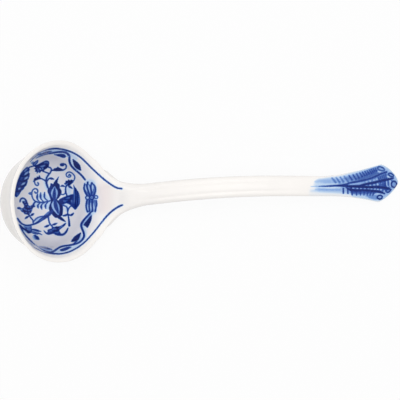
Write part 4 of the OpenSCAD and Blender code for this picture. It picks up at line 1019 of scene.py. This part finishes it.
def glaze(name, painted=False, roughness=(0.1, 0.2)):
    """Glossy glaze over clay. Values on the piece give the cobalt's tone and the painted shade in the bowl:
    grey with a cooler glaze tint in the hollow, warm in the throat.
    """
    material = bpy.data.materials.new(name)
    tree, shader = nodes_of(material)
    place = add(tree, "ShaderNodeTexCoord").outputs["Object"]
    cloud = noise(tree, place, scale=70.0, detail=3.0)
    clay = ramp(tree, [(0.3, tuple(0.98 * c for c in CLAY)), (0.7, CLAY)])
    tree.links.new(cloud, clay.inputs["Fac"])
    # Painted shade colour: grey in the hollow, warm grey in the throat
    shade_colour = blended(tree, value_of(tree, "throat_shade"), HOLLOW_TINT_AND_SHADE, THROAT_SHADE)
    # The clay's colour goes over into the painted shade colour as its amount rises
    colour = blended(tree, value_of(tree, "tint_and_shade"), clay.outputs["Color"], shade_colour)
    if painted:
        tone = value_of(tree, "tone")
        grain = spread(tree, noise(tree, place, scale=760.0, detail=3.0), low=0.8, high=1.14)
        wash = add(tree, "ShaderNodeMath", operation="MULTIPLY")
        tree.links.new(tone, wash.inputs[0])
        tree.links.new(grain, wash.inputs[1])
        paint_colour = ramp(tree, COBALT)
        tree.links.new(wash.outputs["Value"], paint_colour.inputs["Fac"])
        opaque = spread(tree, tone, low=0, high=1, from_high=0.16)
        colour = blended(tree, opaque, colour, paint_colour.outputs["Color"])
    tree.links.new(colour, shader.inputs["Base Color"])
    tree.links.new(spread(tree, cloud, *roughness), shader.inputs["Roughness"])
    bump = add(tree, "ShaderNodeBump", Strength=0.06, Distance=0.0004)
    tree.links.new(noise(tree, place, scale=260.0, detail=2.0), bump.inputs["Height"])
    tree.links.new(bump.outputs["Normal"], shader.inputs["Normal"])
    settle(shader, {"IOR": 1.5, "Specular IOR Level": 0.26, "Coat Weight": 0.1, "Coat Roughness": 0.04})
    return material


porcelain = glaze("porcelain_glaze")
slip = glaze("slip_glaze", roughness=(0.12, 0.22))
cobalt = glaze("cobalt_glaze", True)
washed = glaze("washed_glaze", True)


# Painted shade, in millimetres: grey in the hollow (a cooler glaze tint with painted shade) and warm in
# the throat, less of it on the far wall, and a painted shade band under the far lip
HOLLOW_TOP, HOLLOW_RUN, HOLLOW_SHADE_END, HOLLOW_SHADE_RUN = -1, 9, LOW_RIM[0] + 8, 13
THROAT_START, THROAT_RUN, THROAT_HALF, THROAT_FADE = 16, 14, 17, 10
FAR_REACH, FAR_LESS_SHADE = 0.8 * RIM_R, 1.5
SHADE, SHADE_TOP, SHADE_RUN, SHADE_DEPTH, SHADE_WIDTH = 0.7, 0.4, 1.2, 2.8, 3.2


def tint_and_shade_of(p, n):
    """How much painted shade (with a cooler glaze tint) lies on each point, and how warm that shade is there.
    """
    depth = -(p - MOUTH_MID) @ MOUTH_AXIS
    inside = np.sum((p - BODY_MID) * n, -1) < 0
    throat = ease((p[:, 0] - THROAT_START) / THROAT_RUN) * ease((THROAT_HALF - np.abs(p[:, 1])) / THROAT_FADE)
    hollow = ease((depth - HOLLOW_TOP) / HOLLOW_RUN)
    most = np.maximum(hollow, throat)
    # Painted shade in the hollow and the throat, fading out before the neck
    hollow_shade = most * ease((HOLLOW_SHADE_END - p[:, 0]) / HOLLOW_SHADE_RUN)
    # Share of the painted shade that takes the throat's warm colour
    throat_shade = (most - hollow) / np.maximum(most, 1e-6)
    # Less painted shade on the far wall, which comes out lighter
    far = ease((p - MOUTH_MID) @ FAR_SIDE / FAR_REACH)
    # A painted shade band on the outside, just under the far lip
    band = ease((depth - SHADE_TOP) / SHADE_RUN) * np.exp(-(((depth - SHADE_DEPTH) / SHADE_WIDTH) ** 2))
    return {"tint_and_shade": np.where(inside, hollow_shade * (1 - FAR_LESS_SHADE * far), SHADE * far * band),
            "throat_shade": np.where(inside, throat_shade, 0)}


# Clay pieces. Points lie across the handle's top and underside. The fan's rings are closer at its tip.
SHANK_POINTS, FAN_POINTS, FAN_RINGS, FAN_CROWD, TIP_GAP = (64, 40), (190, 44), 361, 1.3, 0.3
bowl_points, bowl_faces = bowl_mesh()
bowl_normals = field_normals(bowl_points)
# The bowl carries painted shade in its hollow and throat
make_piece("bowl_glazed", bowl_points, bowl_faces, bowl_normals, porcelain, ("bowl",),
           tint_and_shade_of(bowl_points, bowl_normals))
for name, start, end, rings, material, slot, node in (
        ("shank_glazed", NECK_X + SLIP_T, FAN_X, 120, porcelain, "porcelain", "handle_shank"),
        ("neck_slip", NECK_X, NECK_X + SLIP_T, 3, slip, "slip", "neck_slip_joint"),
        ("fan_slip", FAN_X, FAN_X + SLIP_T, 3, slip, "slip", "fan_slip_joint")):
    loft(name, np.linspace(start, end, rings), *SHANK_POINTS, False, material, slot, node)


UNDER_TONE, UNDER_START, UNDER_RUN = 0.26, 318, 14


def fan_tone(p):
    """Cobalt on the fan: the painted wash and lines on top, a thinner wash underneath."""
    x, y = to_pixels(p)
    tone, cover = np.zeros(len(p)), np.zeros(len(p))
    paint(FAN_WASH, x, y, tone, cover)
    under = p[:, 2] < mid_z(p[:, 0])
    return {"tone": np.where(under, UNDER_TONE * ease((x - UNDER_START) / UNDER_RUN), tone)}


steps = np.arange(FAN_RINGS) / (FAN_RINGS - 1)
fan_xs = mix(FAN_X + SLIP_T, TIP_X - TIP_GAP, 1 - (1 - steps) ** FAN_CROWD)
loft("fan_glazed", fan_xs, *FAN_POINTS, True, washed, "washed_porcelain", "fan_terminal", fan_tone)


# Painted films: heights over and under the clay in millimetres, and how much cover makes and owns a film
FILM_TOP, FILM_SUNK = 0.045, 0.04
LEAST_COVER, OWN_COVER, LEAST_SHARE = 0.06, 0.3, 0.02
LIP_MARGIN = math.radians(0.6)
HIDDEN_FROM_X, SIGHT_LIFT, SIGHT_STEP, SIGHT_STEPS, SIGHT_SLACK = 5, 0.3, 0.9, 90, 0.02


def inner_net(subdivisions=8):
    """An even net of triangles over the inside of the bowl."""
    bm = bmesh.new()
    bmesh.ops.create_icosphere(bm, subdivisions=subdivisions, radius=1.0)
    d = np.array([v.co for v in bm.verts])
    faces = np.array([[v.index for v in f.verts] for f in bm.faces])
    bm.free()
    d /= np.linalg.norm(d, axis=1, keepdims=True)
    turn = np.arctan2(d[:, 1], d @ MOUTH_SIDE)
    lift = np.arcsin(np.clip(d @ MOUTH_AXIS, -1, 1))
    table_turn = np.linspace(-np.pi, np.pi, 181)
    lip = np.interp(turn, table_turn, lip_lifts(table_turn))
    r = np.full(len(d), -1.0)
    low = np.flatnonzero(lift < lip - LIP_MARGIN)
    r[low] = first_hit(d[low])
    faces = faces[(r[faces] > 0).all(1)]
    used = np.unique(faces)
    place = np.full(len(d), -1)
    place[used] = np.arange(len(used))
    points = BODY_MID + r[used, None] * d[used]
    faces = place[faces]
    n = np.cross(points[faces[0, 1]] - points[faces[0, 0]], points[faces[0, 2]] - points[faces[0, 0]])
    if n @ (points[faces[0, 0]] - BODY_MID) > 0:
        faces = faces[:, ::-1]
    return points, faces, turn[used], lift[used]


def in_sight(points):
    """Whether each point shows from the camera."""
    seen = np.ones(len(points), bool)
    check = np.flatnonzero(points[:, 0] < HIDDEN_FROM_X)
    p = points[check] + SIGHT_LIFT * field_normals(points[check])
    step = CAMERA_AT - p
    step *= SIGHT_STEP / np.linalg.norm(step, axis=1, keepdims=True)
    for _ in range(SIGHT_STEPS):
        seen[check] &= bowl_field(p) > -SIGHT_SLACK
        p = p + step
    return seen


def clip_net(faces, value, level):
    """Triangles cut along the line where value passes level, with the new corners as pairs and shares."""
    inside = value[faces] >= level
    count = inside.sum(1)
    pairs, made = [], [faces[count == 3]]
    base = len(value)

    def corner(a, b):
        lo, hi = np.minimum(a, b), np.maximum(a, b)
        pairs.append(np.stack([lo, hi], -1))
        return np.arange(len(a)) + base + sum(len(q) for q in pairs[:-1])

    for wanted in (1, 2):
        f = faces[count == wanted]
        odd = np.argmax(inside[count == wanted] == (wanted == 1), 1)
        a, b, c = (f[np.arange(len(f)), (odd + k) % 3] for k in range(3))
        ab, ac = corner(a, b), corner(a, c)
        if wanted == 1:
            made.append(np.stack([a, ab, ac], -1))
        else:
            made += [np.stack([ab, b, c], -1), np.stack([ab, c, ac], -1)]
    pairs = np.concatenate(pairs)
    unique, back = np.unique(pairs, axis=0, return_inverse=True)
    back = back.ravel()
    faces = np.concatenate(made)
    new = faces >= base
    faces[new] = base + back[faces[new] - base]
    va, vb = value[unique[:, 0]], value[unique[:, 1]]
    return faces, unique, np.clip((level - va) / (vb - va), LEAST_SHARE, 1 - LEAST_SHARE)


def far_sheet(turn, lift):
    """Places on a sheet spread over the far wall, true to size from its middle outwards."""
    middle = np.array([np.pi]), np.array([FAR_MIDDLE])
    out, up = ray(*middle)[0], ray(middle[0], middle[1] + np.pi / 2)[0]
    d = ray(turn, lift)
    a, b = d @ np.cross(up, out), d @ up
    h = np.hypot(a, b)
    size = PIXELS_PER_DEGREE * np.degrees(np.arctan2(h, d @ out)) / np.maximum(h, 1e-9)
    return size * a, -size * b


def painted_films():
    """The cobalt painting: thin films that follow the inside of the bowl, one piece for each painted node."""
    points, faces, turn, lift = inner_net()
    normals = field_normals(points)
    seen = in_sight(points)
    around = PIXELS_PER_DEGREE * np.degrees(turn % (2 * np.pi)), -PIXELS_PER_DEGREE * np.degrees(lift)
    nowhere = EVERYWHERE[0]
    sheets = [np.where(seen, to_pixels(points), nowhere), np.where(seen, nowhere, around),
              np.where(seen, nowhere, far_sheet(turn, lift)), around]
    tone, total = np.zeros(len(points)), np.zeros(len(points))
    owner, best = np.zeros(len(points), int), np.zeros(len(points))
    for k, (_, *layers) in enumerate(PAINTED):
        cover = np.zeros(len(points))
        for strokes, (x, y) in zip(layers, sheets):
            paint(strokes, x, y, tone, cover)
        mine = (cover > OWN_COVER) | (cover > best)
        owner[mine] = k
        best = np.where(mine, cover, best)
        total = 1 - (1 - total) * (1 - cover)
    faces, pairs, shares = clip_net(faces, total, LEAST_COVER)
    a, b = pairs.T

    def carried(v):
        """Values of the net's corners, followed by those of the new corners."""
        t = shares if v.ndim == 1 else shares[:, None]
        return np.concatenate([v, v[a] * (1 - t) + v[b] * t])

    points, normals, tone = carried(points), carried(normals), carried(tone)
    owner = np.concatenate([owner, np.where(total[a] > total[b], owner[a], owner[b])])
    # The films carry the same painted shade as the clay under them
    shaded = tint_and_shade_of(points, normals)
    face_owner = np.median(owner[faces], axis=1).astype(int)
    for k, (node, *_) in enumerate(PAINTED):
        f = faces[face_owner == k]
        used = np.unique(f)
        place = np.full(len(points), -1)
        place[used] = np.arange(len(used))
        f, m = place[f], len(used)
        top, low = points[used] + FILM_TOP * normals[used], points[used] - FILM_SUNK * normals[used]
        edges = np.concatenate([f[:, [0, 1]], f[:, [1, 2]], f[:, [2, 0]]])
        key = np.sort(edges, 1)
        _, first, number = np.unique(key, axis=0, return_index=True, return_counts=True)
        rim = edges[first[number == 1]]
        sides = np.concatenate([
            np.stack([rim[:, 1], rim[:, 0], rim[:, 0] + m], -1),
            np.stack([rim[:, 1], rim[:, 0] + m, rim[:, 1] + m], -1)])
        all_faces = np.concatenate([f, f[:, ::-1] + m, sides])
        values = {key: np.tile(value[used], 2) for key, value in {"tone": tone, **shaded}.items()}
        make_piece(node + "_painted", np.concatenate([top, low]), all_faces, np.tile(normals[used], (2, 1)),
                   cobalt, (node,), values)


painted_films()


# Floor, light and camera
FLOOR_HALF, FLOOR_AT, FLOOR_GREY, FLOOR_WHITE, SKY = 3.0, (0.12, 0, -0.0002), 0.75, 0.92, 0.6


def backdrop():
    """A floor that keeps the shadow, and is almost white to the camera and in reflections."""
    mesh = bpy.data.meshes.new("floor")
    r = FLOOR_HALF
    mesh.from_pydata([(-r, -r, 0), (r, -r, 0), (r, r, 0), (-r, r, 0)], [], [(0, 1, 2, 3)])
    floor = bpy.data.objects.new("floor", mesh)
    bpy.context.scene.collection.objects.link(floor)
    floor.location = FLOOR_AT
    material = bpy.data.materials.new("floor_paint")
    tree, shader = nodes_of(material)
    settle(shader, {"Base Color": (FLOOR_GREY,) * 3 + (1,), "Roughness": 0.9, "Specular IOR Level": 0.1})
    path = add(tree, "ShaderNodeLightPath").outputs
    sight = add(tree, "ShaderNodeMath", operation="MAXIMUM")
    tree.links.new(path["Is Camera Ray"], sight.inputs[0])
    tree.links.new(path["Is Glossy Ray"], sight.inputs[1])
    white = add(tree, "ShaderNodeEmission", Strength=1.0)
    both = add(tree, "ShaderNodeMixShader")
    tree.links.new(spread(tree, sight.outputs["Value"], low=0.0, high=FLOOR_WHITE), both.inputs["Fac"])
    tree.links.new(shader.outputs["BSDF"], both.inputs[1])
    tree.links.new(white.outputs["Emission"], both.inputs[2])
    tree.links.new(both.outputs["Shader"], tree.nodes["Material Output"].inputs["Surface"])
    floor.data.materials.append(material)


def lamp(name, at, target, size, watts, mirrored):
    """A round area lamp that points at its target."""
    data = bpy.data.lights.new(name, "AREA")
    data.shape, data.size, data.energy = "DISK", size, watts
    light = bpy.data.objects.new(name, data)
    bpy.context.scene.collection.objects.link(light)
    light.location = at
    light.visible_glossy = mirrored
    way = Vector([t - a for t, a in zip(target, at)])
    light.rotation_euler = way.to_track_quat("-Z", "Y").to_euler()


backdrop()
lamp("sky_panel", at=(0.2, 0.14, 1.57), target=(0.12, 0, 0), size=1.4, watts=14.3, mirrored=False)
lamp("window", at=(-1.2, 1.0, 1.1), target=(0.1, 0, 0.03), size=0.5, watts=1.6, mirrored=True)
world = bpy.data.worlds.new("studio")
bpy.context.scene.world = world
world.use_nodes = True
settle(world.node_tree.nodes["Background"], {"Color": (1, 1, 1, 1), "Strength": SKY})

camera_data = bpy.data.cameras.new("photo_camera")
camera_data.sensor_width = SENSOR_WIDTH
camera_data.lens = FOCAL_PIXELS * SENSOR_WIDTH / PHOTO_SIZE
camera_data.clip_start, camera_data.clip_end = 0.05, 10.0
camera = bpy.data.objects.new("photo_camera", camera_data)
bpy.context.scene.collection.objects.link(camera)
camera.location = CAMERA_AT * MM
camera.rotation_euler = (0, 0, -ROLL)
bpy.context.scene.camera = camera
bpy.context.scene.view_settings.view_transform = "Standard"

bpy.context.view_layer.update()
